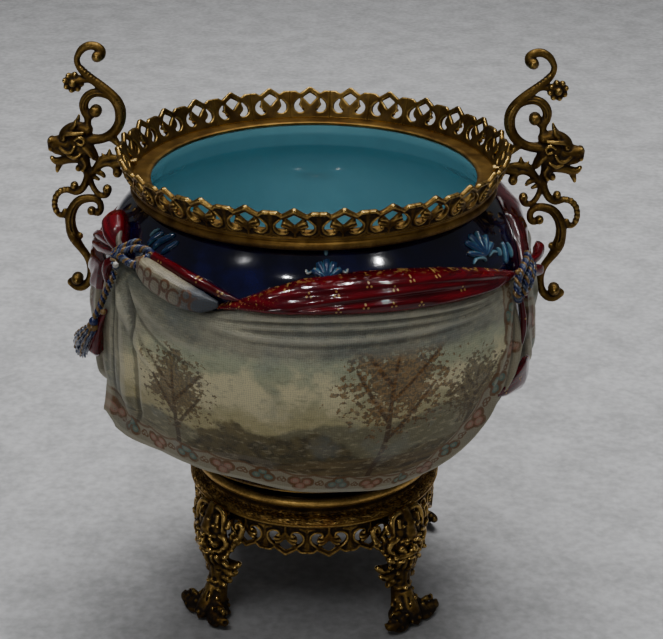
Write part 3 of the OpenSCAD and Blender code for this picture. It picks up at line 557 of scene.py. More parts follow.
water = canvas.mix(ripple.rise(0.35, 0.65), (0.150, 0.142, 0.082), (0.400, 0.355, 0.215))
picture = canvas.mix(river.rise(1.5, -2.0) * (u + 8).rise(6, -8), picture, water)


def painted_tree(picture, x, foot, height, spread, tint, dark, seed):
    """A slim leaning trunk with forking boughs under a loose crown of dabbed leaves."""
    rise = v - foot
    lean = rise * 0.16 + (rise * 0.05).sin() * 2.5
    wood = (u - x - lean).abs() - (2.4 - rise * (1.7 / height))
    for start, slope in ((0.34, 0.75), (0.46, -0.62), (0.60, 0.9), (0.70, -0.85)):
        up = rise - height * start
        bough = (u - x - lean - up * slope).abs() * 0.7 - (1.3 - up * (1.2 / height))
        wood = wood.least(bough + up.rise(0.5, -0.5) * 9 + up.rise(height * 0.34, height * 0.40) * 9)
    reach = rise.rise(-1, 2) * rise.rise(height, height * 0.85)
    crown = distance((u - x - height * 0.14) / spread, (rise - height * 0.74) / (height * 0.40))
    dab = canvas.noise(1, 3, at=canvas.spot(u * 0.26, v * 0.30, seed))
    mass = canvas.noise(1, 4, at=canvas.spot(u * 0.060, v * 0.070, seed + 7))
    leaves = (dab * 1.25 + mass * 0.75 - crown * 0.50).rise(0.60, 0.66)
    picture = canvas.mix(wood.rise(0.8, -0.5) * reach * 0.9, picture, dark)
    tone = canvas.mix(canvas.noise(1, 2, at=canvas.spot(u * 0.5, v * 0.5, seed + 3)).rise(0.40, 0.60), dark, tint)
    return canvas.mix(leaves * 0.8, picture, tone)


picture = painted_tree(picture, 52, 26, 122, 44, (0.360, 0.165, 0.034), (0.090, 0.038, 0.010), 3.3)
picture = painted_tree(picture, -104, 38, 84, 30, (0.270, 0.160, 0.048), (0.085, 0.048, 0.016), 9.0)
picture = painted_tree(picture, 124, 40, 74, 30, (0.250, 0.165, 0.055), (0.075, 0.048, 0.018), 14.0)
# a small stone bridge over the water
bridge_x, bridge_z = -46, 41
deck = (v - bridge_z - 9 + ((u - bridge_x) ** 2) * 0.006).abs() - 2.4
hole = distance(u - bridge_x, v - bridge_z + 1) - 9
span = (u - bridge_x).abs().rise(25, 22)
stone = canvas.mix(fine.rise(0.35, 0.65), (0.118, 0.098, 0.070), (0.205, 0.172, 0.120))
body = (v - bridge_z - 8 + ((u - bridge_x) ** 2) * 0.006).rise(1, -0.6) * (v - bridge_z).rise(-7, -5)
picture = canvas.mix(body * span * hole.rise(-0.6, 0.6) * 0.85, picture, stone)
picture = canvas.mix(body * span * hole.rise(0.6, -0.8) * 0.8, picture, (0.040, 0.036, 0.026))
picture = canvas.mix(deck.rise(0.5, -0.5) * span * 0.8, picture, (0.225, 0.190, 0.135))
# the picture darker towards its foot, shrubs in front, and the bare cloth round the picture
picture = canvas.mix(v.rise(125, 66) * 0.26, picture, (0.060, 0.040, 0.012))
shrubs = canvas.noise(12, 5) * 34 + 5 * (u * 0.05).sin()
picture = canvas.mix((shrubs - v).rise(-1, 3) * 0.6, picture, (0.120, 0.056, 0.020))
plain = canvas.mix(broad.rise(0.35, 0.65), (0.225, 0.240, 0.200), (0.450, 0.420, 0.305))
margin = (u + 156).rise(8, -6).most((v - (u + 150) * 0.9).rise(96, 116)).most((v + brush * 9).rise(134, 144))
picture = canvas.mix(margin * 0.9, picture, plain)
hem_tints = ((0.410, 0.365, 0.245), (0.420, 0.180, 0.115), (0.090, 0.200, 0.160), (0.185, 0.075, 0.016))
cloth_colour = painted_border(canvas, picture, s, t, 25, hem_tints)
cloth_colour = canvas.mix((u + 181).abs().rise(5, 1) * v.rise(70, 100), cloth_colour, (0.20, 0.030, 0.012))
dabs = canvas.noise(1, 4, at=canvas.spot(u * 0.16, v * 0.34, 5.5))
cloth_colour = canvas.mix(dabs.rise(0.52, 0.70) * 0.26 * t.rise(20, 30), cloth_colour, (0.84, 0.74, 0.46))
cloth_colour = canvas.mix(dabs.rise(0.48, 0.32) * 0.22 * t.rise(20, 30), cloth_colour, (0.110, 0.092, 0.050))
cloth_colour = canvas.mix(canvas.noise(33, 4).rise(0.52, 0.68) * 0.28, cloth_colour, (0.280, 0.320, 0.310))
grain = weave(canvas, u, v)
# painted shade in the fold valleys and thread gaps, and a painted highlight on the ridges
cloth_colour = folded(canvas, cloth_colour, grain)
canvas_material = canvas.shade(base_color=cloth_colour, roughness=0.46 + 0.2 * fine, coat_weight=0.10,
                               coat_roughness=0.3, specular_ior_level=0.35,
                               normal=canvas.bump(grain * 0.8 + fine * 0.4, 0.45, 0.8))
put("front_cloth", cloth_points, cloth_faces, canvas_material, "cloth_glaze", "front_drape",
    charts={"cloth": twice(canvas_chart), "border": twice(border_chart)}, marks={"proud": twice(standing_proud(out))},
    crease=60)

# Where the cloth's top turns over it shows its crimson lining: a broad glossy swag in the middle
# and right, a thin roll over a pale one at the left, and slips of lining at the right edge. All
# are relief, laid over the canvas.

swag_top = [(-22, 296.5), (-15, 303), (-8, 311), (0, 317), (8, 319), (16, 320), (27, 319), (39, 315),
            (52, 307), (60, 299.5), (66.5, 292.5)]
swag_foot = [(-22, 294.5), (-15, 296.5), (7, 296.5), (19, 295.6), (30, 294.4), (41, 292.4), (52, 291), (61, 289.6),
             (66.5, 289.4)]
swag_folds = [
    ([(-20, 296.5), (-6, 303), (10, 308), (28, 309), (46, 304.5), (62, 294)], 4.2, 2.4),
    ([(-14, 297), (2, 301), (20, 302), (38, 299), (58, 292.5)], 2.8, 1.8),
    ([(-12, 304), (0, 312), (14, 314.6), (30, 313.6), (46, 308), (60, 297)], 2.6, 1.5),
    ([(-8, 299), (10, 304.6), (28, 305), (44, 301)], 1.5, -1.3),
    ([(6, 311), (26, 311.6), (44, 305.6), (60, 295)], 1.3, -1.0),
    ([(30, 297), (44, 296.6), (60, 291)], 1.8, 1.2)]
az = np.linspace(-22, 66.5, 220) + np.zeros((40, 1))
top_z, low_z = height_at(az, swag_top), height_at(az, swag_foot)
z = low_z + (top_z - low_z) * np.linspace(0, 1, 40)[:, None]
edge = np.minimum(np.minimum(z - low_z, top_z - z) + 0.2, (az + 22.2) * 1.2)
edge = np.minimum(edge, (66.7 - az) * 1.6)
ends = np.clip(np.minimum(az + 22, 66.5 - az) / 14, 0, 1)
out = (3.2 + (2.6 * np.sqrt(ends) + folds(az, z, swag_folds) * ends + 2.4) * rounded(edge, 4.5)
       - 2.2 * (1 - rounded(edge, 2.5)))
swag_points, swag_faces = relief(az, z, out, 1.0 + 0 * az)

crimson = Finish("crimson_glaze")
u, v = crimson.chart("cloth")
streak = crimson.noise(1, 4, at=crimson.spot(u * 0.03, v * 0.35, 2.0))
red = crimson.mix(streak.rise(0.3, 0.75), (0.055, 0.0006, 0.0035), (0.165, 0.0020, 0.0080))
red = crimson.mix(crimson.noise(20, 3).rise(0.5, 0.8) * 0.5, red, (0.050, 0.002, 0.012))
# sprigs of three gold dots, each at a place of its own in its cell, and missing from many cells
cell_wide, cell_high = 19.0, 11.78
x, y = (u + 4.0) / cell_wide, (v + 6.8) / cell_high
column, line = x.calc("FLOOR"), y.calc("FLOOR")
chance, other = (crimson.node("TexWhiteNoise", {"noise_dimensions": "2D"}, {"Vector": crimson.spot(*at)})
                 for at in ((column, line), (line + 7.3, column)))
cell_x = (x - column - 0.25 - chance * 0.5) * cell_wide
cell_y = (y - line - 0.3 - other * 0.4) * cell_high
dots = distance(cell_x, cell_y - 1.3).least(distance(cell_x - 1.5, cell_y + 0.9)).least(
    distance(cell_x + 1.5, cell_y + 0.9))
sprig = (dots + crimson.noise(2.2, 2) * 0.9 - 0.4).rise(1.0, 0.55) * chance.rise(0.36, 0.37)
dust = crimson.noise(1.5, 3).rise(0.60, 0.68) * (u + 22).rise(16, -30)
edging = crimson.attribute("rim") * crimson.noise(4, 3).rise(0.52, 0.62)
golden = sprig.most(dust).most(edging * 0.8)
red = crimson.mix(golden * 0.9, red, (0.46, 0.27, 0.07))
flow = crimson.noise(1, 3, at=crimson.spot(u * 0.05, v * 0.3, 8.0))
crimson_material = crimson.shade(base_color=red, roughness=0.10 + golden * 0.25, coat_weight=0.18, coat_roughness=0.04,
                                 specular_ior_level=0.35,
                                 normal=crimson.bump(flow * 0.7 + crimson.noise(3, 2) * 0.2, 0.5, 0.5))
edge_mark = 1 - np.clip(np.minimum(z - low_z, top_z - z) / 1.3, 0, 1)
put("crimson_swag", swag_points, swag_faces, crimson_material, "crimson_glaze",
    charts={"cloth": twice(np.stack([az * degree, z - 290], -1))}, marks={"rim": twice(edge_mark)}, crease=60)


def frame_along(centre):
    """Directions across a line of points and outwards from the bowl, square to the line."""
    along = np.gradient(centre, axis=0)
    along /= np.linalg.norm(along, axis=1)[:, None]
    outward = centre * (1, 1, 0)
    outward /= np.linalg.norm(outward, axis=1)[:, None]
    across = np.cross(along, outward)
    across /= np.linalg.norm(across, axis=1)[:, None]
    return across, np.cross(across, along)


def tube(path, width, height, around, ridge=0.0, power=1.0, lobes=5):
    """A soft roll along the bowl: path of (az, z, out), its half width and its half height."""
    path = spline(path, 9)
    centre = on_bowl(path[:, 0], path[:, 1], path[:, 2])
    share = np.linspace(0, 1, len(path))
    width, height = (np.interp(share, np.linspace(0, 1, len(w)), w) for w in (width, height))
    across, outward = frame_along(centre)
    turn = np.linspace(0, 2 * math.pi, around, endpoint=False)
    bulge = 1 + ridge * np.cos(turn * lobes + 1)
    side_way = np.sign(np.cos(turn)) * np.abs(np.cos(turn)) ** power * bulge
    up_way = np.sin(turn) * bulge
    rings = (centre[:, None] + across[:, None] * (width[:, None] * side_way)[..., None]
             + outward[:, None] * (height[:, None] * up_way)[..., None])
    run = np.concatenate([[0], np.cumsum(np.linalg.norm(np.diff(centre, axis=0), axis=1))])
    chart = np.stack(np.broadcast_arrays(run[:, None], np.cos(turn) * width[:, None]), -1)
    return rings.reshape(-1, 3), grid_faces(len(path), around, False, True), chart.reshape(-1, 2)


def close_ends(piece):
    """Fills the open ends of a piece's tubes with round caps."""
    shape = bmesh.new()
    shape.from_mesh(piece.data)
    bmesh.ops.holes_fill(shape, edges=[e for e in shape.edges if e.is_boundary], sides=0)
    bmesh.ops.recalc_face_normals(shape, faces=shape.faces)
    shape.to_mesh(piece.data)
    shape.free()


def put_tube(name, made, material, slot):
    """Puts a roll in place and closes its ends."""
    points, faces, chart = made
    close_ends(put(name, points, faces, material, slot, charts={"cloth": chart}, crease=70))


for name, made in (
        ("crimson_roll", tube([(-50, 317, 4.5), (-43, 316.5, 7.5), (-34.6, 314.4, 8), (-26.8, 310.6, 7.5),
                               (-19.5, 305, 5.5), (-15.5, 302, 3)],
                              [2.2, 3.8, 4.0, 3.8, 2.8, 0.6], [1.5, 3.4, 3.8, 3.6, 2.6, 0.6], 20, 0.05)),
        ("lining_at_the_edge", tube([(66.6, 286, 4), (65.8, 272, 6.4), (65.8, 256, 7.2), (65, 240, 6.8),
                                     (62.4, 224, 5)],
                                    [0.8, 1.7, 2.2, 2.0, 0.8], [0.8, 1.8, 2.4, 2.2, 0.8], 14)),
        ("lining_at_the_corner", tube([(56, 207, 7), (60, 208, 8), (65, 209, 8.6), (70, 209, 9), (75, 208, 9)],
                                      [1.5, 6, 9, 12, 9], [1.0, 2.2, 2.8, 2.8, 1.4], 28, 0.07))):
    put_tube(name, made, crimson_material, "crimson_glaze")

pale_roll = Finish("pale_roll_glaze")
u, v = pale_roll.chart("cloth")
blot = pale_roll.noise(9, 4)
tone = pale_roll.mix(blot, (0.190, 0.165, 0.110), (0.400, 0.350, 0.235))
tone = pale_roll.mix((u + pale_roll.noise(7, 3) * 16).rise(56, 76), tone, (0.050, 0.062, 0.078))
# brown scrolls made of big and small rings
swirl = (distance((u - 2).wrap(17), v - 1.5) - 5.2).abs().least((distance((u + 6.5).wrap(17), v + 3.5) - 3.2).abs())
swirl = (swirl + pale_roll.noise(5, 3) * 1.6 - 0.8).rise(1.5, 0.4)
swirl = swirl * pale_roll.noise(3.5, 3).rise(0.28, 0.42) * u.rise(72, 64)
tone = pale_roll.mix(swirl * 0.95, tone, (0.125, 0.042, 0.009))
threads = weave(pale_roll, u, v)
# painted shade in the thread gaps
tone = pale_roll.mix((1 - threads.rise(0.25, 0.85)) * 0.4, tone, (0.05, 0.04, 0.025))
pale_roll_material = pale_roll.shade(base_color=tone, roughness=0.40 + 0.15 * blot, coat_weight=0.15,
                                     coat_roughness=0.25,
                                     normal=pale_roll.bump(threads * 0.7 + blot * 0.4, 0.35, 0.7))
put_tube("pale_roll", tube([(-49, 310, 6), (-45, 309.4, 8.6), (-40.4, 307.4, 10), (-34.4, 304.4, 10.4),
                            (-28.8, 301, 9.6), (-24.4, 299, 8), (-20.4, 298.6, 5)],
                           [3, 7.6, 9.8, 10.2, 9.6, 7.6, 2.0], [2.4, 5.4, 6.8, 7.0, 6.2, 5.0, 1.4], 28, 0.04, 0.8),
         pale_roll_material, "cloth_glaze")

# The cloth that goes round the back: the same painted clay in wider, plainer folds. At the right
# its lining turns out over the shoulder, and its near edge hangs beside the knot as a pale tail.

back_from, back_to = 73, 290
back_top = [(73, 286), (77, 305), (82, 320), (90, 327), (110, 328), (130, 325), (150, 321), (170, 317), (190, 314),
            (210, 311), (230, 307), (250, 300), (262, 294), (272, 288), (280, 286), (290, 288)]
back_hem = [(73, 240), (77, 212), (84, 190), (95, 160), (108, 142), (125, 134), (180, 131), (240, 134), (260, 142),
            (275, 160), (284, 180), (290, 200)]
back_folds = [
    ([(74, 284), (76, 262), (80, 232), (86, 200)], 3.4, 2.6),
    ([(78, 296), (84, 270), (92, 235), (100, 196), (106, 165)], 5.0, 2.4),
    ([(84, 312), (96, 285), (112, 258), (130, 238)], 5.5, 2.2),
    ([(92, 320), (112, 300), (136, 284), (160, 276)], 5.0, 2.2),
    ([(100, 324), (130, 312), (160, 304), (190, 300)], 4.0, 2.0),
    ([(288, 284), (284, 262), (279, 230), (275, 196)], 4.0, 2.4),
    ([(284, 284), (272, 262), (262, 232), (256, 196), (252, 165)], 5.0, 2.2),
    ([(280, 284), (262, 272), (244, 252), (230, 236)], 5.5, 2.2),
    ([(276, 285), (250, 286), (226, 284), (200, 278), (170, 274)], 5.0, 2.0),
    ([(262, 292), (236, 298), (210, 300), (180, 298)], 4.0, 1.8),
    ([(82, 300), (88, 270), (96, 235), (102, 200)], 3.0, -1.4),
    ([(281, 276), (270, 240), (264, 205)], 3.0, -1.4)]
az, z, edge, along_edge, cloth_top = hung(back_from, back_to, back_top, back_hem, 300, 96)
turned_over = np.clip(1 - np.abs(cloth_top - 11 - z) / 11, 0, 1)
out = (cloth_thick + folds(az, z, back_folds) + corner_flare(az, z, back_from, back_to, 195, 8)
       + 3.4 * np.sqrt(turned_over * (2 - turned_over)) * np.clip(np.minimum(az - back_from, back_to - az) / 9, 0, 1)
       + 0.9 * np.sin(along_edge / 19) * np.exp(-edge / 16)
       - 0.8 * np.exp(-((z - 249.5) / 17)**2 - ((az - 180) / 30)**2))
out = np.maximum(out, 2.4) * (0.3 + 0.7 * rounded(np.minimum(edge, cloth_top - z + 0.6), edge_round))
back_points, back_faces = relief(az, z, out, 0.4 + 0 * az)

plain_cloth = Finish("plain_canvas_relief")
u, v = plain_cloth.chart("cloth")
s, t = plain_cloth.chart("border")
top = plain_cloth.chart("fall")[0]
blot, broad = plain_cloth.noise(12, 4), plain_cloth.noise(55, 3)
tone = plain_cloth.mix(broad.rise(0.3, 0.7), (0.280, 0.285, 0.210), (0.480, 0.450, 0.320))
tone = plain_cloth.mix((v + blot * 30).rise(70, 20) * 0.6, tone, (0.200, 0.150, 0.080))
tone = painted_border(plain_cloth, tone, s, t, 23, hem_tints)
lining = (top + blot * 3 - 1.5).rise(22.5, 20.5)
lining_red = plain_cloth.mix(blot.rise(0.3, 0.7), (0.062, 0.0025, 0.007), (0.150, 0.007, 0.014))
tone = plain_cloth.mix(lining, tone, lining_red)
grain = weave(plain_cloth, u, v)
# painted shade in the fold valleys and thread gaps and a painted highlight on the ridges, left off the lining
tone = plain_cloth.mix(lining, folded(plain_cloth, tone, grain), tone)
plain_material = plain_cloth.shade(base_color=tone, roughness=0.42 - lining * 0.28 + 0.1 * blot,
                                   coat_weight=0.08 + lining * 0.6, coat_roughness=0.18,
                                   normal=plain_cloth.bump(grain * (1 - lining) * 0.8 + blot * 0.4, 0.32, 0.7))
put("back_cloth", back_points, back_faces, plain_material, "cloth_glaze", "back_drape",
    charts={"cloth": twice(np.stack([az * degree, z - chart_foot], -1)),
            "border": twice(np.stack([along_edge, edge], -1)),
            "fall": twice(np.stack([cloth_top - z, 0 * z], -1))},
    marks={"proud": twice(standing_proud(out))}, crease=60)

# The two knots: bows of the crimson lining with a cord of blue, white and gold strands wound
# over them, small beads, and a tassel on two strands. All are modelled in the clay and glazed.


def roll(path, width, height, around=22, lobes=5, ridge=0.05, kind=0):
    """A fold of cloth as a tube, ready to be joined."""
    return *tube(path, width, height, around, ridge, lobes=lobes), kind


def pearl(at, r, kind, across=16):
    """A small ball on the bowl; its two ends are left open for the caps."""
    tilt = np.linspace(0.12, math.pi - 0.12, across // 2 + 1)
    centre = on_bowl(*np.array(at, float))
    turn = np.linspace(0, 2 * math.pi, across, endpoint=False)
    points = np.stack([np.outer(np.sin(tilt), np.cos(turn)), np.outer(np.sin(tilt), np.sin(turn)),
                       np.outer(np.cos(tilt), 0 * turn + 1)], -1) * r + centre
    return points.reshape(-1, 3), grid_faces(len(tilt), across, False, True), np.zeros((points.size // 3, 2)), kind


def strands(path, off, thick, kinds, lay=9.0, around=8):
    """Cord strands wound round a path of (az, z, out): off is their distance from its middle."""
    path = spline(path, 8)
    middle = on_bowl(path[:, 0], path[:, 1], path[:, 2])
    run = np.concatenate([[0], np.cumsum(np.linalg.norm(np.diff(middle, axis=0), axis=1))])
    at = np.linspace(0, run[-1], max(int(run[-1] / 0.9), 4))
    middle = np.stack([np.interp(at, run, middle[:, k]) for k in range(3)], 1)
    across, outward = frame_along(middle)
    turn = np.linspace(0, 2 * math.pi, around, endpoint=False)
    taper = np.clip(np.minimum(at, run[-1] - at) / 1.6, 0.25, 1)[:, None, None]
    made = []
    for k, kind in enumerate(kinds):
        angle = 2 * math.pi * (at / lay + k / len(kinds))
        centre = middle + off * (np.cos(angle)[:, None] * across + np.sin(angle)[:, None] * outward)
        ring = (centre[:, None] + taper * thick * (np.cos(turn)[None, :, None] * across[:, None]
                                                   + np.sin(turn)[None, :, None] * outward[:, None]))
        chart = np.stack(np.broadcast_arrays(at[:, None], turn[None, :] * thick), -1).reshape(-1, 2)
        made.append((ring.reshape(-1, 3), grid_faces(len(at), around, False, True), chart, kind))
    return made


def put_joined(name, parts, material, slot, node):
    """Puts several meshes of points, faces, chart and kind in place as one piece."""
    start, rows = 0, []
    for points, faces, chart, kind in parts:
        rows.append((points, faces + start, chart, np.full(len(points), float(kind))))
        start += len(points)
    points, faces, chart, kind = (np.concatenate(column) for column in zip(*rows))
    close_ends(put(name, points, faces, material, slot, node, charts={"cloth": chart}, marks={"kind": kind}, crease=70))


bow = Finish("crimson_bow_glaze")
u, v = bow.chart("cloth")
streak = bow.noise(1, 4, at=bow.spot(u * 0.05, v * 0.5, 3.0))
red = bow.mix(streak.rise(0.3, 0.75), (0.060, 0.0008, 0.0040), (0.200, 0.0030, 0.0100))
red = bow.mix(bow.noise(8, 3).rise(0.55, 0.8) * 0.5, red, (0.040, 0.002, 0.012))
pale = bow.mix(bow.noise(5, 3), (0.24, 0.21, 0.16), (0.12, 0.11, 0.095))
bow_colour = bow.mix(bow.attribute("kind"), red, pale)
bow_material = bow.shade(base_color=bow_colour, roughness=0.10 + 0.1 * streak, coat_weight=0.3, coat_roughness=0.04,
                         specular_ior_level=0.4, normal=bow.bump(bow.noise(4, 3), 0.3, 0.4))
put_joined("left_knot_bow", [
    roll([(-56.5, 308.5, 5), (-59, 312.5, 8), (-62, 317, 10.4), (-65.6, 321, 11.4), (-68.6, 324, 10),
          (-70, 325.2, 8.4)],
         [3, 6.2, 8.8, 9.4, 6.6, 1.2], [3, 6.4, 9.2, 10.0, 7.0, 1.2], 30, 4, 0.07),
    roll([(-55.6, 311, 10), (-57.6, 316, 12.6), (-59.6, 320.2, 13), (-61.6, 323.6, 11)],
         [1.4, 2.4, 2.6, 0.8], [1.2, 2.0, 2.2, 0.6], 14, 3, 0.03, 1),
    roll([(-58, 310.5, 6), (-64, 310.2, 9), (-70, 308, 9), (-76.5, 303, 8.6), (-80.6, 296.5, 7.6)],
         [2.4, 3.9, 4.2, 4.0, 2.0], [2, 3.4, 3.8, 3.4, 2.0], 20, 4, 0.06),
    roll([(-58, 307.5, 5), (-64.5, 304.4, 7.6), (-71, 300.2, 7.8), (-76.6, 297, 7.6), (-80.6, 295.5, 7)],
         [2.2, 3.6, 3.9, 3.6, 2.0], [2, 3.2, 3.4, 3.2, 2.0], 20, 4, 0.06),
    roll([(-59, 303.5, 5), (-61, 298, 7.2), (-61.6, 291, 7.0), (-61.6, 283, 5.2)],
         [2, 4.2, 4.0, 1.4], [2, 3.6, 3.2, 1.2]),
    roll([(-59.6, 264, 6), (-61.4, 252, 8.6), (-62.6, 240, 10.6), (-63.4, 230, 11.6), (-63.8, 224, 11)],
         [1.4, 4.0, 6.4, 7.4, 2.0], [1.2, 3.2, 5.0, 5.6, 1.6], 20, 4, 0.08)],
    bow_material, "crimson_glaze", "left_bow")
put_joined("right_knot_bow", [
    roll([(73, 289.5, 7), (75.4, 286, 9.6), (77.8, 282.4, 11), (80, 278.4, 10)],
         [2, 3.8, 4.6, 1.2], [2, 3.6, 4.4, 1.2]),
    roll([(74, 291.5, 8.5), (78, 292.6, 11.5), (82, 294.6, 12.6), (84.6, 296.4, 11.4)],
         [2, 4, 4.8, 1.2], [2, 3.6, 4.4, 1.2])],
    bow_material, "crimson_glaze", "right_bow")

twist = Finish("glazed_cord")
shades = [(0.008, 0.018, 0.105), (0.080, 0.108, 0.180), (0.250, 0.140, 0.034), (0.62, 0.60, 0.54), (0.16, 0.006, 0.014),
          (0.040, 0.065, 0.130)]
tone = twist.node("ValToRGB", {"stops": [(i / 5, c) for i, c in enumerate(shades)]}, {0: twist.attribute("kind") / 5})
tone = twist.mix(twist.noise(2.4, 3).rise(0.45, 0.75) * 0.6, tone, (0.020, 0.018, 0.026))
twist_material = twist.shade(base_color=tone, roughness=0.16 + 0.2 * twist.noise(3, 2), coat_weight=0.35,
                             coat_roughness=0.06, specular_ior_level=0.45,
                             normal=twist.bump(twist.noise(1.1, 2), 0.12, 0.5))
cord_round = [(-57.5, 307.5, 11), (-55.2, 311.2, 12.5), (-52.8, 314.5, 13), (-49.8, 318, 12.2), (-46.8, 319.5, 11.2),
              (-43.6, 318.4, 10.2), (-44.8, 314.8, 10.8), (-46.8, 310.2, 11.8), (-50, 309.4, 12.4),
              (-52.8, 310.4, 12.8), (-55.8, 308.8, 12.4), (-57.6, 305, 11)]
cord_over = [(-57.6, 309.5, 11.5), (-55.8, 313.4, 13.2), (-53.4, 317.6, 13.8), (-52.4, 320.2, 11.4),
             (-50.6, 321.2, 9.2)]
web = [(-49.2, 311.8, 7.5), (-48.6, 314.5, 8.6), (-47.4, 317, 7.8)]
put_joined("left_knot_cord", [
    *strands(cord_round, 1.5, 1.62, (0, 1, 2)), *strands(cord_over, 1.15, 1.3, (1, 0, 2)),
    *strands([(-58.6, 311, 10), (-56, 307, 12.8), (-54.2, 303.6, 12.6), (-54, 300.5, 11.6)], 1.4, 1.55, (2, 0, 1)),
    roll(web, [1.8, 3.8, 1.6], [0.8, 1.4, 0.8], 16, 3, 0.02, 5), pearl((-53, 305.4, 15), 2.3, 3)],
    twist_material, "cord_glaze", "left_cord")
put_joined("right_knot_cord", [
    *strands([(75.5, 297.5, 7.5), (72.6, 297.4, 9.4), (69.5, 296, 9.6), (65.6, 294.4, 10.2), (63, 290.6, 10),
              (62.2, 285, 9.6), (62, 280, 8.8), (63.8, 273.4, 7.6)], 1.5, 1.62, (0, 1, 2)),
    *strands([(73.8, 295.4, 9), (71.4, 291.6, 10.8), (68.4, 288.8, 11), (66.8, 284.6, 10.2), (66.2, 280, 9.4),
              (65.9, 274.6, 7.8)], 1.45, 1.6, (1, 0, 2)),
    *strands([(75.4, 291, 9.5), (72.6, 288, 11.4), (70, 284, 11.6), (69.4, 278.6, 9.6), (69.8, 275, 8)],
             1.2, 1.4, (0, 2, 1)),
    pearl((63.4, 296, 10.6), 1.9, 2), pearl((68.7, 284.6, 13), 2.0, 0)],
    twist_material, "cord_glaze", "right_cord")

skirt = roll([(-61.2, 250, 13.2), (-62.4, 245.5, 14.6), (-64.6, 239, 16), (-68, 231, 17.6), (-71.6, 222.6, 18.4)],
             [3.6, 4.4, 5.8, 8.2, 9.8], [3.4, 4.0, 4.6, 5.4, 5.6], 72, 18, 0.075)
fringe = [strands([(a0, 250, o0), ((a0 + a1) / 2, (250 + z1) / 2, (o0 + o1) / 2 + 1), (a1, z1, o1)], 0.3, 0.75,
                  (kind,), around=6)[0]
          for a0, o0, a1, z1, o1, kind in (
              (-59.8, 17.0, -67.0, 219.6, 22.6, 2), (-60.6, 17.6, -69.2, 219.8, 23.8, 5),
              (-61.4, 17.8, -71.2, 220.8, 24.2, 2), (-62.2, 17.4, -73.2, 222.4, 23.6, 1),
              (-63, 16.6, -75.0, 224.8, 22.0, 2), (-59.2, 16.0, -65.2, 220.6, 20.4, 1))]
put_joined("hanging_tassel", [
    *strands([(-54.2, 299.5, 11.6), (-54.3, 295, 11.6), (-55.2, 288.5, 11.4), (-57.2, 278, 11.2), (-59.4, 267, 11.2),
              (-61, 257, 12.4)], 1.25, 1.45, (0, 2), 8),
    *strands([(-54.9, 296.5, 9.8), (-56.6, 287, 9.6), (-58.6, 275.5, 9.4), (-59.6, 266, 10)], 1.0, 1.2, (2, 0), 7),
    pearl((-56.2, 267.5, 12.6), 2.1, 2), pearl((-60.9, 255, 13.4), 3.6, 0), pearl((-61.3, 250.8, 13.8), 4.3, 2, 20),
    *fringe, skirt],
    twist_material, "cord_glaze", "tassel")

# Relief sprigs on the dark shoulder: palmettes with a drop above them and loose leaf strokes, laid
# on in pale slip and painted in blue and turquoise with lighter edges and a little gold.


def leaf(points, half, height, kind=0):
    """A tapering stroke of slip along (az, z): its widest half width and its height off the bowl."""
    around = 12
    path = [(a, h, 0.5) for a, h in spline(points, 4)]
    swell = np.interp(np.linspace(0, 1, len(path)), [0, 0.25, 0.6, 0.88, 1], [0.35, 0.75, 1, 0.8, 0.3])
    points, faces, chart = tube(path, half * swell, height * np.maximum(swell, 0.4), around)
    turn = np.linspace(0, 2 * math.pi, around, endpoint=False)
    chart = np.stack([chart[:, 0], np.tile(np.cos(turn), len(points) // around) * 10], -1)
    return points, faces, chart, kind


def palmette(az, z, size=1.0):
    """Five lobes over an arch, with a drop above and a pale tip on each side."""
    def at(x, y):
        return (az + x * size / 2.35, z + y * size * 0.62)
    lobes = [leaf([at(x0, -2), at(x1, y1), at(x2, y2)], 2.5 * size, 2.6) for x0, x1, y1, x2, y2 in (
        (-1.5, -5.5, 1.5, -8.6, 3.4), (-0.8, -3.4, 4.6, -4.6, 9.4), (0, 0, 5.5, 0, 11.5),
        (0.8, 3.4, 4.6, 4.6, 9.4), (1.5, 5.5, 1.5, 8.6, 3.4))]
    arch = leaf([at(-4.6, -8.5), at(-3.6, -4.4), at(0, -2.4), at(3.6, -4.4), at(4.6, -8.5)], 1.2 * size, 2.0, 1)
    tips = [leaf([at(s * 8.6, 2.4), at(s * 10.8, 1.2), at(s * 12, 3.6)], 1.1 * size, 1.8, 2) for s in (-1, 1)]
    drop = leaf([at(0, 14), at(0, 16.4), at(0, 18.6)], 1.5 * size, 2.0, 1)
    return [*lobes, arch, *tips, drop]


slip = Finish("blue_slip_relief")
run, across = slip.chart("cloth")
edge_pale = (across.abs() + slip.noise(2.5, 2) * 3 - 1.5).rise(6.0, 8.2)
kind = slip.attribute("kind")
body = slip.mix(slip.noise(7, 3), (0.010, 0.030, 0.130), (0.022, 0.080, 0.190))
body = slip.mix(kind.rise(0.2, 0.8), body, (0.16, 0.30, 0.36))
body = slip.mix(kind.rise(1.2, 1.8), body, (0.45, 0.46, 0.42))
body = slip.mix(edge_pale * 0.85, body, (0.075, 0.235, 0.350))
body = slip.mix((slip.noise(3.2, 2).rise(0.60, 0.70)) * edge_pale * 0.8, body, (0.50, 0.33, 0.11))
slip_material = slip.shade(base_color=body, roughness=0.12 + 0.12 * slip.noise(5, 2), coat_weight=0.4,
                           coat_roughness=0.05, normal=slip.bump(slip.noise(2.2, 2), 0.15, 0.5))
fan = [leaf([(57, 311), (mix(57, a, 0.55), mix(311, h, 0.6)), (a, h)], w, 2.8) for a, h, w in (
    (50.6, 316.5, 2.2), (52.2, 322.4, 2.6), (55.6, 325, 2.9), (59.4, 324.6, 2.9), (62, 320.6, 2.7), (62.4, 315.4, 2.3))]
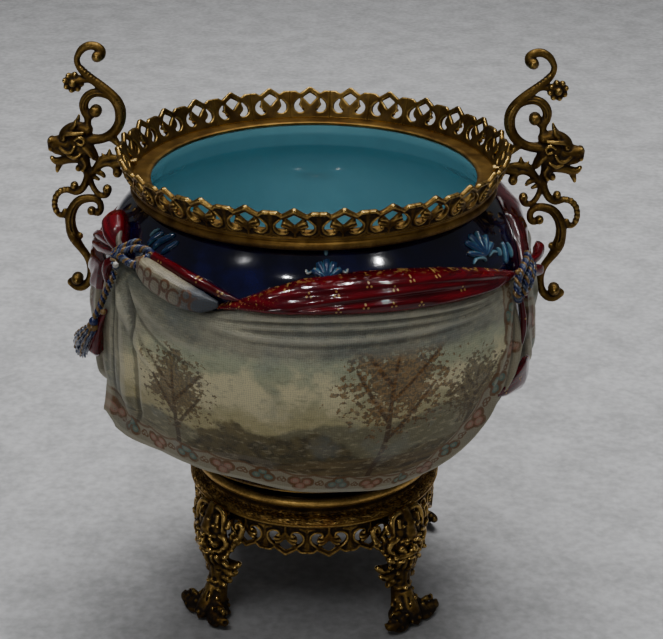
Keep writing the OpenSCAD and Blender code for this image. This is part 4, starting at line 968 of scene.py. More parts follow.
put_joined("raised_sprigs", [
    *palmette(6.8, 319.0, 1.12),
    leaf([(-50.4, 317.5), (-50, 321.5), (-48, 327)], 2.2, 2.6),
    leaf([(-47.4, 317), (-46.6, 322), (-43, 328.4)], 2.5, 2.8),
    leaf([(-43.4, 316.6), (-42.4, 320), (-40.2, 325.6)], 2.1, 2.4),
    leaf([(-52, 322), (-51.6, 325), (-50.4, 327.4)], 1.3, 1.8, 1), *fan,
    leaf([(51, 309.6), (52.8, 311.8), (55.4, 310.6), (56.2, 307.6)], 1.3, 2.2, 1),
    leaf([(58.4, 309.5), (60.6, 310.8), (62.6, 309)], 1.2, 2.0, 1),
    leaf([(63.8, 311), (63.9, 308.6), (63.4, 305.4)], 1.7, 2.2, 1),
    leaf([(67.8, 311.5), (67, 306), (65.4, 298.6)], 2.0, 2.4),
    leaf([(70.4, 309), (70.2, 304), (69.4, 299)], 1.8, 2.2, 1),
    *palmette(163, 321), *palmette(203, 318), *palmette(242, 313)],
    slip_material, "turquoise_glaze", "shoulder_sprigs")

# The mouth mount: a turned brass collar over the rim, with a heavy bead under it, and a pierced
# gallery of cast peaks and fans standing on it. All of it is gilt, rubbed bright along its tops, with a painted
# highlight laid on there as well.


def gilt(name, bright, wear=1.0, soot=1.0):
    """Old gilt brass: dark brown in the hollows, rubbed yellow with a painted highlight on the highs."""
    metal = Finish(name)
    high = metal.attribute("high") * wear
    cloud = metal.noise(17, 4)
    grit = metal.noise(1.6, 3)
    brown, yellow, red = ([c * bright for c in tint]
                          for tint in ((0.070, 0.036, 0.009), (0.235, 0.140, 0.037), (0.15, 0.055, 0.012)))
    body = metal.mix(cloud.rise(0.3, 0.75), brown, yellow)
    body = metal.mix(metal.noise(31, 3).rise(0.52, 0.8) * 0.6, body, red)
    # rubbed gilt and a painted highlight together on the highs
    rubbed_and_highlit = (high + grit * 0.35 - 0.17).rise(0.14, 0.60)
    body = metal.mix(rubbed_and_highlit, body, [c * min(bright, 1.25) for c in (0.70, 0.455, 0.135)])
    sunk = (grit * 0.4 - high).rise(0.08, 0.42)
    body = metal.mix(sunk * (0.88 * soot), body, (0.016, 0.009, 0.005))
    return metal.shade(base_color=body, metallic=1 - sunk * 0.35,
                       roughness=(0.44 - rubbed_and_highlit * 0.27 + sunk * 0.30 + grit * 0.08),
                       normal=metal.bump(grit * 0.7 + metal.noise(4.5, 3) * 0.5, 0.16, 0.6))


class Wax:
    """A casting's model: strokes and plates are added and cut on a grid of cells, then skinned."""

    def __init__(self, low, high, cell):
        self.cell = cell
        self.low = np.array(low, float) - 3 * cell
        self.depth = np.full(np.ceil((np.array(high) - low) / cell).astype(int) + 7, 9.0, np.float32)

    def window(self, low, high):
        """The cells between two corners: their slices and the coordinates of each."""
        first = np.clip(np.floor((low - self.low) / self.cell).astype(int), 0, np.array(self.depth.shape) - 1)
        last = np.clip(np.ceil((high - self.low) / self.cell).astype(int) + 1, first + 1, self.depth.shape)
        cells = tuple(slice(a, b) for a, b in zip(first, last))
        at = np.meshgrid(*[self.low[k] + self.cell * np.arange(first[k], last[k]) for k in range(3)],
                         indexing="ij", sparse=True)
        return cells, at

    def blend(self, cells, found, melt, cut):
        """Adds or cuts a form whose depth is known in these cells, with a melted edge."""
        held = self.depth[cells]
        if cut:
            found = -found
        lap = np.clip(melt - np.abs(held - found), 0, None)**2 / (4 * melt)
        self.depth[cells] = np.maximum(held, found) + lap if cut else np.minimum(held, found) - lap

    def stroke(self, path, melt, cut=False, stretch=(1, 1, 1)):
        """A bar along points (x, y, z, radius), or one ball; stretch widens it along an axis."""
        path = np.atleast_2d(np.asarray(path, float))
        stretch = np.asarray(stretch, float)
        reach = path[:, 3:] * stretch + melt + 2 * self.cell
        low, high = path[:, :3] - reach, path[:, :3] + reach
        cells, _ = self.window(low.min(0), high.max(0))
        found = np.full(self.depth[cells].shape, 9.0, np.float32)
        base = np.array([c.start for c in cells])
        for i in range(max(len(path) - 1, 1)):
            j = min(i + 1, len(path) - 1)
            a, b = path[i], path[j]
            part, at = self.window(np.minimum(low[i], low[j]), np.maximum(high[i], high[j]))
            p = [(at[k] - a[k]) / stretch[k] for k in range(3)]
            run = (b[:3] - a[:3]) / stretch
            length = max(run @ run, 1e-9)
            t = np.clip((p[0] * run[0] + p[1] * run[1] + p[2] * run[2]) / length, 0, 1)
            far = np.sqrt(sum((p[k] - t * run[k])**2 for k in range(3))) - (a[3] + t * (b[3] - a[3]))
            inner = tuple(slice(c.start - o, c.stop - o) for c, o in zip(part, base))
            found[inner] = np.minimum(found[inner], far * stretch.min())
        self.blend(cells, found, melt, cut)

    def plate(self, outline, low, high, melt, cut=False):
        """A plate with a drawn outline in x and y, between two heights in z."""
        outline = np.asarray(outline, float)
        corner_low = np.array([*outline.min(0), low]) - melt - 2 * self.cell
        corner_high = np.array([*outline.max(0), high]) + melt + 2 * self.cell
        cells, (x, y, z) = self.window(corner_low, corner_high)
        far, _ = nearest(x + 0 * y, y + 0 * x, np.vstack([outline, outline[:1]]))
        within = np.zeros(far.shape, bool)
        for (ax, ay), (bx, by) in zip(outline, np.roll(outline, -1, 0)):
            if ay != by:
                within ^= ((ay > y) != (by > y)) & (x < (bx - ax) * (y - ay) / (by - ay) + ax)
        far = np.where(within, -far, far)
        self.blend(cells, np.maximum(far, np.abs(z - (low + high) / 2) - (high - low) / 2), melt, cut)

    def grid(self):
        """The x, y and z of the cells, each along its own axis."""
        return np.meshgrid(*[self.low[k] + self.cell * np.arange(self.depth.shape[k]) for k in range(3)],
                           indexing="ij", sparse=True)

    def take_away(self, depth):
        """Clears the places where a depth is above 0."""
        self.depth = np.maximum(self.depth, depth)

    def skin(self):
        """The points and quads of the surface, and how far each point stands out from its surroundings."""
        depth, quads, crossings = self.depth, [], []
        for axis in range(3):
            near = depth[tuple(slice(0, -1) if k == axis else slice(None) for k in range(3))]
            next_ = depth[tuple(slice(1, None) if k == axis else slice(None) for k in range(3))]
            at = np.argwhere((near < 0) != (next_ < 0))
            a, b = near[tuple(at.T)], next_[tuple(at.T)]
            point = at.astype(float)
            point[:, axis] += a / (a - b)
            corners = []
            for du, dv in ((0, 0), (1, 0), (1, 1), (0, 1)):
                cell = at.copy()
                cell[:, (axis + 1) % 3] -= du
                cell[:, (axis + 2) % 3] -= dv
                corners.append(np.ravel_multi_index(cell.T, depth.shape))
            quad = np.stack(corners, 1)
            quad[a > 0] = quad[a > 0][:, ::-1]
            quads.append(quad)
            crossings.append(np.repeat(point, 4, 0))
        quads, crossings = np.concatenate(quads), np.concatenate(crossings)
        cells, index = np.unique(quads.ravel(), return_inverse=True)
        share = np.bincount(index)
        points = np.stack([np.bincount(index, crossings[:, k]) / share for k in range(3)], 1)
        faces = index.reshape(-1, 4)
        return finish_skin(points * self.cell + self.low, faces)


def finish_skin(points, faces):
    """Smooths a skin a little and measures where it stands proud (above 0) or is sunk (below 0)."""
    a = faces.ravel()
    b = np.roll(faces, -1, 1).ravel()
    share = np.bincount(a, minlength=len(points))

    def average(values):
        return np.stack([np.bincount(a, values[b, k], len(points)) for k in range(values.shape[1])], 1) / share[:, None]

    for _ in range(2):
        points = points * 0.4 + average(points) * 0.6
    soft = points
    for _ in range(14):
        soft = average(soft)
    one, two = points[faces[:, 2]] - points[faces[:, 0]], points[faces[:, 3]] - points[faces[:, 1]]
    facing = np.cross(one, two)
    normal = np.stack([np.bincount(a, np.repeat(facing[:, k], 4), len(points)) for k in range(3)], 1)
    normal /= np.linalg.norm(normal, axis=1)[:, None] + 1e-12
    high = ((points - soft) * normal).sum(1, keepdims=True)
    return points, faces, average(high)[:, 0]


motif_count, gallery_foot_r, gallery_lean, gallery_top = 27, 136.0, 9.0, 23.0
gallery_foot_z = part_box("rim_collar")[1].z * 1000
slant = math.hypot(gallery_lean, gallery_top)
motif_half = 15.8  # half of a motif's width on the flat model
motif_outline = [(-16.2, -0.6), (16.2, -0.6), (16.2, slant - 3), (10.9, slant - 3), (7.9, slant - 5.2),
                 (1.1, slant), (-1.1, slant), (-7.9, slant - 5.2), (-10.9, slant - 3), (-16.2, slant - 3)]


def mirrored(path):
    """The same path on the other side of the motif."""
    path = np.array(path, float)
    path[:, 0] *= -1
    return path


def motif_model(h, cell, plate_t):
    """One peak of height h with half a fan on each side, modelled flat: x along, y up, z outwards."""
    wax = Wax((-17, -1.5, -plate_t - 0.5), (17, h + 1, 2.6), cell)
    outline = np.array(motif_outline)
    outline[:, 1] = np.where(outline[:, 1] > 0, outline[:, 1] + h - slant, outline[:, 1])
    wax.plate(outline, -plate_t, 0.2, 0.4)
    # the hole under the peak, and the comma holes beside it
    wax.plate([(0, h - 14.6), (5.3, h - 8.6), (3.0, h - 6.0), (0, h - 4.4), (-3.0, h - 6.0), (-5.3, h - 8.6)],
              -9, 9, 0.5, True)
    for flip in (np.array, mirrored):
        wax.stroke(flip(spline([(8.3, h - 10.2, 0, 0.7), (10.2, h - 13.0, 0, 1.7), (10.6, h - 16, 0, 2.3),
                               (8.6, h - 18.6, 0, 2.0), (6.2, h - 19.0, 0, 1.2)])), 0.4, True, (1, 1, 4))
        # raised rim that runs from the fan's corner round the hole into a small ball
        wax.stroke(flip(spline([(7.6, h - 7.4, 0.4, 0.7), (10.4, h - 9.8, 0.8, 0.95), (13.2, h - 13.6, 0.8, 1.05),
                               (13.0, h - 18.4, 0.8, 1.05), (9.6, h - 21.4, 0.8, 1.0), (5.6, h - 20.8, 0.8, 0.9),
                               (4.3, h - 18.6, 0.9, 0.9), (5.8, h - 17.6, 1.0, 1.15)])), 0.5)
        # peak's chevron bar and the bar's inner step
        wax.stroke(flip([(0, h - 1.5, 0.5, 1.5), (8.2, h - 6.6, 0.4, 1.35)]), 0.4)
        wax.stroke(flip([(0, h - 4.2, 0.2, 0.7), (5.4, h - 7.8, 0.2, 0.7)]), 0.4)
        # edges of the V that carries the leaves
        wax.stroke(flip([(0.2, h - 15.2, 0.5, 0.9), (6.6, h - 8.2, 0.3, 0.7)]), 0.4)
        # three lobed leaf curling into the hole, with two veins
        for lobe in ([(0.9, h - 16.0, 0.6, 0.9), (3.6, h - 12.4, 1.0, 1.2), (6.6, h - 11.2, 0.8, 1.4)],
                     [(1.2, h - 17.4, 0.7, 0.9), (4.4, h - 14.4, 1.2, 1.3), (7.6, h - 14.2, 0.8, 1.5)],
                     [(1.0, h - 19.6, 0.6, 0.8), (2.6, h - 17.2, 1.0, 0.9), (5.2, h - 17.0, 0.9, 1.0)]):
            wax.stroke(flip(spline(lobe)), 0.5)
        for cut_path in ([(2.4, h - 14.8, 1.9, 0.35), (6.4, h - 12.8, 2.0, 0.35)],
                         [(2.2, h - 16.6, 1.7, 0.35), (5.4, h - 15.8, 1.9, 0.35)]):
            wax.stroke(flip(cut_path), 0.3, True)
        # fan: flat polished bar over a sunk stippled field, with a rim down its side
        wax.stroke(flip([(12.0, h - 3.9, 0.5, 1.15), (16.2, h - 3.9, 0.5, 1.15)]), 0.3, stretch=(1, 1, 1.25))
        wax.stroke(flip([(8.2, h - 6.6, 0.4, 1.2), (11.4, h - 4.0, 0.5, 1.1)]), 0.4)
        wax.plate(flip([(11.2, h - 6.4), (16.4, h - 6.4), (16.4, h - 14.5)]), -0.5, 3, 0.4, True)
        side_rim = spline([(15.8, h - 20.2, 0.2, 0.6), (14.6, h - 22.4, 0.3, 0.8), (11.0, h - 23.6, 0.3, 0.7)])
        wax.stroke(flip(side_rim), 0.5)
    wax.stroke([(0, h - 15.6, 0.5, 0.8), (0, 1.4, 0.4, 1.0)], 0.5)
    wax.stroke([(-16.2, 0.3, 0.2, 0.8), (16.2, 0.3, 0.2, 0.8)], 0.4)
    return wax.skin()


def none_at_ends(points, high):
    """A motif's marks, faded out at the two ends where it is cut to meet its neighbours."""
    return high * np.clip((15.9 - np.abs(points[:, 0])) / 1.2, 0, 1)


motif_points, motif_faces, motif_high = motif_model(slant, 0.5, 1.7)
motif_high = none_at_ends(motif_points, motif_high)


def onto_gallery(points):
    """Bends the flat motif round the leaning wall of the gallery."""
    x, y, z = points.T
    lean_x, lean_z = gallery_lean / slant, gallery_top / slant
    r = gallery_foot_r + y * lean_x + z * lean_z
    turn = x / motif_half * math.pi / motif_count
    return np.stack([r * np.cos(turn), r * np.sin(turn), gallery_foot_z + y * lean_z - z * lean_x], -1)


def repeater():
    """A tree that repeats a casting around the planter: how many, the first turn and the step."""
    tree = bpy.data.node_groups.new("repeat_around", "GeometryNodeTree")
    for name, kind in (("Casting", "NodeSocketGeometry"), ("Count", "NodeSocketInt"),
                       ("First turn", "NodeSocketFloat"), ("Step", "NodeSocketFloat"),
                       ("Metal", "NodeSocketMaterial")):
        tree.interface.new_socket(name, in_out="INPUT", socket_type=kind)
    tree.interface.new_socket("Row", in_out="OUTPUT", socket_type="NodeSocketGeometry")
    made = {kind: tree.nodes.new(kind) for kind in (
        "NodeGroupInput", "GeometryNodePoints", "GeometryNodeInstanceOnPoints", "GeometryNodeInputIndex",
        "ShaderNodeMath", "ShaderNodeCombineXYZ", "GeometryNodeRealizeInstances", "GeometryNodeSetMaterial",
        "NodeGroupOutput")}
    given, points, instance, index, turn, around, real, metal, end = made.values()
    turn.operation = "MULTIPLY_ADD"
    for a, b in ((given.outputs["Count"], points.inputs["Count"]), (points.outputs[0], instance.inputs["Points"]),
                 (given.outputs["Casting"], instance.inputs["Instance"]), (index.outputs[0], turn.inputs[0]),
                 (given.outputs["Step"], turn.inputs[1]), (given.outputs["First turn"], turn.inputs[2]),
                 (turn.outputs[0], around.inputs["Z"]), (around.outputs[0], instance.inputs["Rotation"]),
                 (instance.outputs[0], real.inputs[0]), (real.outputs[0], metal.inputs["Geometry"]),
                 (given.outputs["Metal"], metal.inputs["Material"]), (metal.outputs[0], end.inputs[0])):
        tree.links.new(a, b)
    return tree


repeat_around = repeater()


def put_row(name, points, faces, high, material, slot, node, count, first, step):
    """A row of equal castings around the planter, as one piece."""
    one = put(name + "_one", points, faces, material, slot, marks={"high": high})
    row = one.modifiers.new("row", "NODES")
    row.node_group = repeat_around
    wanted = {"Count": count, "First turn": math.radians(first), "Step": math.radians(step), "Metal": material}
    for item in repeat_around.interface.items_tree:
        if item.name in wanted and item.in_out == "INPUT":
            row[item.identifier] = wanted[item.name]
    mesh = bpy.data.meshes.new_from_object(one.evaluated_get(bpy.context.evaluated_depsgraph_get()))
    one.modifiers.remove(row)
    bpy.data.objects.remove(one)
    mesh.name = name
    made = bpy.data.objects.new(name, mesh)
    bpy.context.scene.collection.objects.link(made)
    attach(made, "root")
    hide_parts(node)
    return made


gallery_metal = gilt("gallery_gilt", 0.85)
gallery_step, gallery_turn = 360 / motif_count, 1.37
for third in range(3):
    put_row(f"gallery_row_{third + 1}", onto_gallery(motif_points), motif_faces, motif_high, gallery_metal,
            "gilt_metal", f"gallery_section_{third + 1}", motif_count // 3, gallery_turn + third * 120, gallery_step)
collar_z, bead_mid = gallery_foot_z - 1.8, gallery_foot_z - 1.8 - 1.6 - 3.5
bead = [(gallery_foot_r - 3.1 + 3.5 * math.cos(a), bead_mid + 3.5 * math.sin(a))
        for a in np.radians(range(-105, 75, 12))]
collar_points, collar_faces = lathe(
    [(mouth_r - 0.5, collar_z), (neck_r + 2.4, collar_z), (neck_r + 2.4, bead_mid - 2.6), *bead,
     (gallery_foot_r - 1.6, collar_z - 0.8), (gallery_foot_r - 0.6, collar_z - 0.4),
     (gallery_foot_r + 0.5, collar_z + 0.5), (gallery_foot_r + 0.4, gallery_foot_z - 0.2),
     (gallery_foot_r, gallery_foot_z), (mouth_r + 4, gallery_foot_z), (mouth_r + 3, gallery_foot_z + 0.5),
     (mouth_r + 0.4, gallery_foot_z + 0.4), (mouth_r - 0.5, gallery_foot_z - 0.2)], 240)
collar_high = np.where(collar_points[..., 2].ravel() > bead_mid + 0.6, 0.12, -0.02)
put("rim_collar_turned", collar_points, collar_faces, gilt("bead_gilt", 1.4, 1.0, 0.8), "gilt_metal", "rim_collar",
    marks={"high": collar_high})

# The handles: a pair of scroll castings with a flower and a beast's head that looks away from the
# bowl. Each is one casting, screwed to the gallery; the left one is the right one turned about.


def handle_model():
    """The right handle: a scroll, a flower on its stem, a beast's head and the lower stem."""
    wax = Wax((136, -9, 240), (201, 9, 441), 0.58)

    def bar(rows, melt=0.9, y=0.0, deep=1.0, cut=False):
        """A smooth bar through (x, z, radius); an added one is a little stouter than drawn."""
        stout = 1.0 if cut else 1.07
        wax.stroke(spline([(x, y, z, r * stout) for x, z, r in rows], 5), melt, cut, (1, deep, 1))

    def boss(x, z, half, r, melt):
        """A round boss that stands out on both faces."""
        wax.stroke([(x, -half, z, r), (x, half, z, r)], melt)

    bar([(158.4, 426.8, 3.5), (155.4, 428.6, 3.4), (155.0, 432.2, 3.2), (158.6, 435.0, 3.0), (164.2, 435.2, 2.9),
         (169.4, 432.0, 2.6), (172.5, 426.8, 2.2), (172.9, 423.4, 2.2), (171.6, 419.4, 2.3), (168.4, 415.4, 2.7),
         (163.3, 411.0, 3.0), (157.6, 406.4, 3.3), (151.9, 401.4, 3.6), (146.2, 395.2, 3.9), (143.3, 389.1, 4.0),
         (142.9, 382.8, 3.9), (144.2, 377.0, 3.7), (148.0, 370.9, 3.6), (153.6, 366.7, 3.4), (159.8, 364.7, 3.4),
         (166.5, 364.6, 4.0)])
    boss(157.4, 427.9, 2.6, 4.0, 1.0)
    for y in (-5.6, 5.6):
        bar([(160.6, 425.4, 0.5), (157.2, 424.2, 0.5), (154.8, 426.6, 0.5), (155.8, 430.0, 0.5), (159.0, 430.4, 0.5)],
            0.3, y, cut=True)
    # row of pearls on the bowl's side of the body, on both faces, then ribs down to the bend
    pearl_line = spline([(170.6, 418.9), (163.3, 412.4), (155.4, 406.0), (146.6, 398.2)], 12)
    for share in np.linspace(0.02, 0.98, 13):
        x, z = pearl_line[int(share * 36)]
        for y in (-1.9, 1.9):
            wax.stroke([(x - 0.4, y, z + 0.3, 1.35)], 0.25)
    rib_tops = spline([(144.6, 396.0), (140.6, 390.4), (139.4, 383.4), (140.6, 377.0)])
    rib_ends = spline([(149.6, 392.6), (146.8, 388.2), (146.2, 382.6), (147.6, 378.0)])
    for (x, z), (x2, z2) in zip(rib_tops[:-1], rib_ends):
        for y in (-3.5, 3.5):
            wax.stroke([(x, y * 0.8, z, 0.45), (x2, y, z2, 0.35)], 0.25, True)
    # sunk channels that leave a rim along the inner edge
    for y in (-3.4, 3.4):
        bar([(152.8, 398.2, 0.6), (148.6, 392.2, 0.6), (146.2, 384.4, 0.6), (148.2, 376.6, 0.6), (154.4, 370.0, 0.6),
             (161.4, 367.4, 0.5)], 0.4, y, cut=True)
    # inner scroll with two grooves on each face, and the boss that it curls round
    scroll = [(150.8, 398.4, 3.0), (155.2, 400.0, 3.1), (160.2, 400.4, 3.1), (165.0, 398.6, 3.2), (168.4, 395.0, 3.3),
              (169.9, 390.6, 3.3), (169.4, 386.0, 3.0), (167.9, 382.4, 2.7), (167.5, 377.9, 2.5), (169.0, 372.0, 3.2)]
    bar(scroll)
    for shift, y in ((1.1, -2.9), (-1.1, -2.9), (1.1, 2.9), (-1.1, 2.9)):
        bar([(x + shift * math.cos(a), z + shift * math.sin(a), 0.42) for (x, z, _), a in
             zip(scroll[1:8], np.radians([100, 80, 50, 25, 0, -20, -30]))], 0.3, y, cut=True)
    boss(161.2, 386.4, 1.6, 4.6, 0.9)
    bar([(165.4, 383.2, 3.2), (168.4, 385.0, 2.8)], 1.2)
    # flower: a tapered stem, petals round a button, turned a little outwards
    flower_x, flower_z = 176.6, 407.8
    bar([(158.6, 408.2, 1.9), (161.6, 409.2, 2.1), (166, 409.9, 2.2), (171, 409.6, 2.6), (176, 408.4, 3.2)], 1.0,
        deep=1.15)
    for k in range(8):
        c, s = math.cos(math.radians(k * 45 + 14)), math.sin(math.radians(k * 45 + 14))
        x, z, rise = flower_x + 5.6 * c, flower_z + 5.6 * s, 1.2 * c
        wax.stroke([(flower_x + 2.4 * c, rise * 0.4, flower_z + 2.4 * s, 2.2), (x, rise, z, 2.5)], 0.5)
        for y in (-1.3, 1.3):
            wax.stroke([(x + 0.5 * c, rise + y, z + 0.5 * s, 1.8)], 0.25)
    boss(flower_x, flower_z, 2.8, 3.0, 0.5)
    # beast's head: skull, crown, brow, muzzle and jaws
    wax.stroke([(175.6, 0, 363.4, 7.6), (172.0, 0, 358.0, 7.0)], 1.4, stretch=(1.12, 0.98, 1.16))
    bar([(168.4, 371.8, 4.2), (174.0, 373.4, 4.0), (180.0, 372.4, 4.2), (184.6, 368.8, 4.2), (186.8, 364.2, 3.6)], 1.2,
        deep=1.3)
    bar([(184.0, 362.0, 5.6), (190.0, 361.6, 5.0), (192.6, 361.2, 4.8)], 1.0, deep=1.1)
    bar([(181.0, 357.0, 5.6), (186.6, 356.8, 5.2), (191.2, 356.8, 4.6)], 1.0, deep=1.05)
    boss(195.6, 363.6, 2.0, 2.6, 0.6)
    boss(196.0, 357.2, 2.6, 2.1, 0.6)
    bar([(196.2, 362.2, 2.6), (195.9, 357.8, 2.4)], 0.7, deep=1.35)
    # on each side of it: nostril, ear, brow ridge, eye and its pupil, lid, cheek swirl, jowl, jaw,
    # two locks of the ruff, beard and lip
    each_side = (
        ([(198.4, 1.8, 364.4, 0.9)], 0.3, True),
        ([(179.0, 4.6, 373.6, 2.3), (176.2, 5.6, 377.2, 1.9), (175.0, 5.8, 381.4, 0.8)], 0.6, False),
        ([(170.6, 6.8, 371.0, 1.4), (176.4, 7.4, 370.8, 1.6), (182.0, 6.4, 370.2, 1.7),
          (186.4, 4.4, 367.6, 1.6)], 0.5, False),
        ([(185.2, 5.0, 366.6, 2.5)], 0.3, False),
        ([(186.4, 6.8, 366.8, 0.9)], 0.2, True),
        ([(183.4, 5.8, 364.0, 0.5), (186.0, 6.2, 363.4, 0.6), (188.6, 5.2, 364.4, 0.5)], 0.3, True),
        ([(176.6, 7.8, 366.0, 1.1), (173.0, 8.2, 368.2, 1.2), (169.6, 7.6, 365.8, 1.3), (171.2, 7.6, 362.4, 1.2),
          (174.4, 7.9, 363.2, 1.1)], 0.35, False),
        ([(188.6, 5.4, 359.4, 1.3), (184.4, 6.6, 356.2, 1.5), (180.0, 7.2, 356.6, 1.5),
          (177.4, 7.4, 360.4, 1.3)], 0.4, False),
        ([(182.6, 6.2, 353.6, 1.3), (177.8, 7.2, 352.0, 1.5), (173.4, 6.8, 354.4, 1.4)], 0.4, False),
        ([(170.6, 6.0, 359.6, 1.6), (167.2, 5.4, 356.0, 1.9), (164.8, 3.8, 352.0, 1.9)], 0.5, False),
        ([(172.4, 5.0, 350.8, 1.5), (170.2, 4.4, 346.0, 1.7), (172.6, 3.6, 341.4, 1.8)], 0.5, False),
        ([(190.4, 3.4, 356.2, 0.9), (192.6, 3.2, 354.2, 0.8)], 0.3, False))
    for way in (-1, 1):
        for rows, melt, cut in each_side:
            path = np.array(rows) * (1, way, 1, 1)
            wax.stroke(spline(path) if len(path) > 1 else path, melt, cut)
    bar([(177.0, 351.6, 5.2), (184.0, 349.4, 3.8), (190.0, 347.2, 3.0), (194.0, 347.4, 2.3), (196.2, 349.6, 1.6)], 0.9,
        deep=1.25)
    bar([(199.0, 353.0, 1.0), (193.6, 352.4, 1.3), (189.6, 351.4, 1.2)], 0.5, deep=4.0, cut=True)
    bar([(190.0, 346.0, 2.4), (192.0, 342.0, 2.0), (192.8, 338.8, 1.2)], 0.8)
    bar([(167.0, 357.6, 3.4), (164.6, 354.0, 2.8), (163.6, 350.8, 2.6)], 0.8)
    # neck in two strands, the gallery's branch with its leaves, and the arm with its ring
    bar([(174.0, 357.0, 5.6), (172.6, 349.6, 4.8), (171.8, 343.4, 3.8), (170.0, 337.4, 2.9), (171.6, 331.0, 2.7),
         (175.2, 325.2, 2.7), (179.6, 323.0, 2.6), (183.3, 324.0, 2.4)])
    boss(176.2, 342.0, 1.5, 2.6, 0.6)
    bar([(169.6, 346.0, 2.0), (168.4, 338.9, 2.0), (167.8, 331.4, 2.1), (165.6, 325.4, 2.1), (162.0, 321.0, 2.1),
         (157.4, 320.8, 2.4), (155.6, 324.4, 3.0)])
    bar([(168.0, 336.6, 2.3), (165.2, 339.6, 2.4), (162.0, 342.8, 2.5), (157.6, 345.4, 2.5), (152.6, 345.6, 2.4),
         (148.6, 343.0, 2.5), (147.4, 339.2, 3.3)])
    for melt, rows in ((0.8, [(164.4, 341.6, 2.1), (158.8, 348.6, 2.6), (153.0, 350.4, 2.6), (146.8, 350.2, 2.2),
                              (143.4, 348.6, 2.6)]),
                       (0.6, [(154.4, 349.6, 2.3), (152.8, 353.2, 1.9), (152.4, 357.0, 0.7)]),
                       (0.5, [(156.6, 351.0, 1.4), (158.4, 353.6, 0.7)]),
                       (0.6, [(163.4, 339.6, 2.1), (159.4, 337.8, 2.0), (157.6, 335.6, 1.4)]),
                       (0.5, [(164.8, 335.0, 1.8), (162.0, 333.2, 1.3)])):
        bar(rows, melt)
    wax.stroke([(141.4, 0, 347.8, 3.9)], 0.8)
    # lower stem with its knuckle, and the lumpy hoop outside it
    stem = [(167.2, 307.4, 2.6), (163.6, 306.8, 2.7), (161.4, 310.0, 2.4), (162.2, 314.8, 2.5), (166.0, 317.8, 2.8),
            (171.8, 317.8, 3.1), (177.8, 315.6, 3.4), (182.4, 310.2, 3.6), (185.0, 303.0, 3.8), (185.2, 295.6, 3.9),
            (183.8, 288.6, 4.3), (181.4, 282.6, 3.6), (178.0, 277.2, 3.0), (174.2, 271.2, 2.8), (172.2, 264.7, 2.7),
            (172.0, 257.1, 2.7), (174.0, 250.4, 2.9), (178.2, 246.0, 3.1), (183.0, 245.6, 3.2), (187.2, 249.2, 3.3)]
    bar(stem)
    for y in (-3.4, 3.4):
        bar([(x - 0.9, z - 0.4, 0.55) for x, z, _ in stem[5:11]], 0.3, y, cut=True)
    wax.stroke([(179.0, 0, 287.4, 2.9)], 0.6)
    boss(183.6, 284.8, 3.4, 1.3, 0.4)
    boss(182.6, 252.4, 1.8, 4.5, 0.9)
    for y in (-6.0, 6.0):
        wax.stroke([(182.6, y, 252.4, 1.3)], 0.5)
    bar([(183.3, 324.0, 2.3), (188.6, 324.2, 2.0), (193.6, 321.0, 2.0), (196.2, 315.4, 2.0), (196.2, 308.9, 2.0),
         (193.8, 304.6, 2.0), (190.4, 304.2, 2.2), (188.8, 307.2, 2.2)])
    lumps = spline([(185.6, 324.6, 2.3), (191.0, 323.4, 2.5), (195.2, 318.6, 2.5), (196.4, 311.6, 2.4),
                    (194.6, 305.0, 2.4)], 2)
    for x, z, r in lumps[:-1]:
        boss(x, z, 0.6, r, 0.25)
    boss(180.6, 328.0, 0.9, 3.0, 0.7)
    for x, z, r in ((168.6, 308.0, 3.3), (155.8, 325.6, 3.4), (147.4, 338.6, 3.5), (163.6, 350.8, 2.6)):
        boss(x, z, 0.9, r, 0.6)
        for way in (-1, 1):
            wax.stroke([(x + 0.2, way * (r + 0.9), z, 1.0)], 0.3, True)
    # pads that the screw pulls against the gallery
    lug_x, lug_z = 137.96, 347.8
    bar([(lug_x + 2.4, lug_z, 3.8), (149, 345.8, 3.2)], 0.8)
    bar([(lug_x + 6, 360.8, 2.7), (151, 366.6, 3.0)], 0.8)
    return wax


def clear_of_gallery(wax):
    """Takes away what would stand in the gallery's leaning wall."""
    x, _, z = wax.grid()
    wall = gallery_foot_r + 1.2 + gallery_lean * np.clip((z - gallery_foot_z) / gallery_top, 0, 1)
    wax.take_away(np.where(z < gallery_foot_z + gallery_top + 0.5, wall - x, -9.0))


handle_wax = handle_model()
clear_of_gallery(handle_wax)
handle_points, handle_faces, handle_high = handle_wax.skin()
handle_metal = gilt("handle_gilt", 0.8, 0.8)
for side_name, way in (("right", 1), ("left", -1)):
    put(f"{side_name}_scroll_handle", handle_points * (way, way, 1), handle_faces, handle_metal, "gilt_metal",
        f"{side_name}_handle", marks={"high": handle_high}, crease=180)

# The stand's ring: a cast and turned brass ring with a lip bead rubbed bright under a painted highlight,
# a dark hollow under it and a punched, rounded band painted lighter lower down. Its gilt is painted
# brighter than the other castings as painted light. The bowl's foot stands on the cork on its inner ledge.

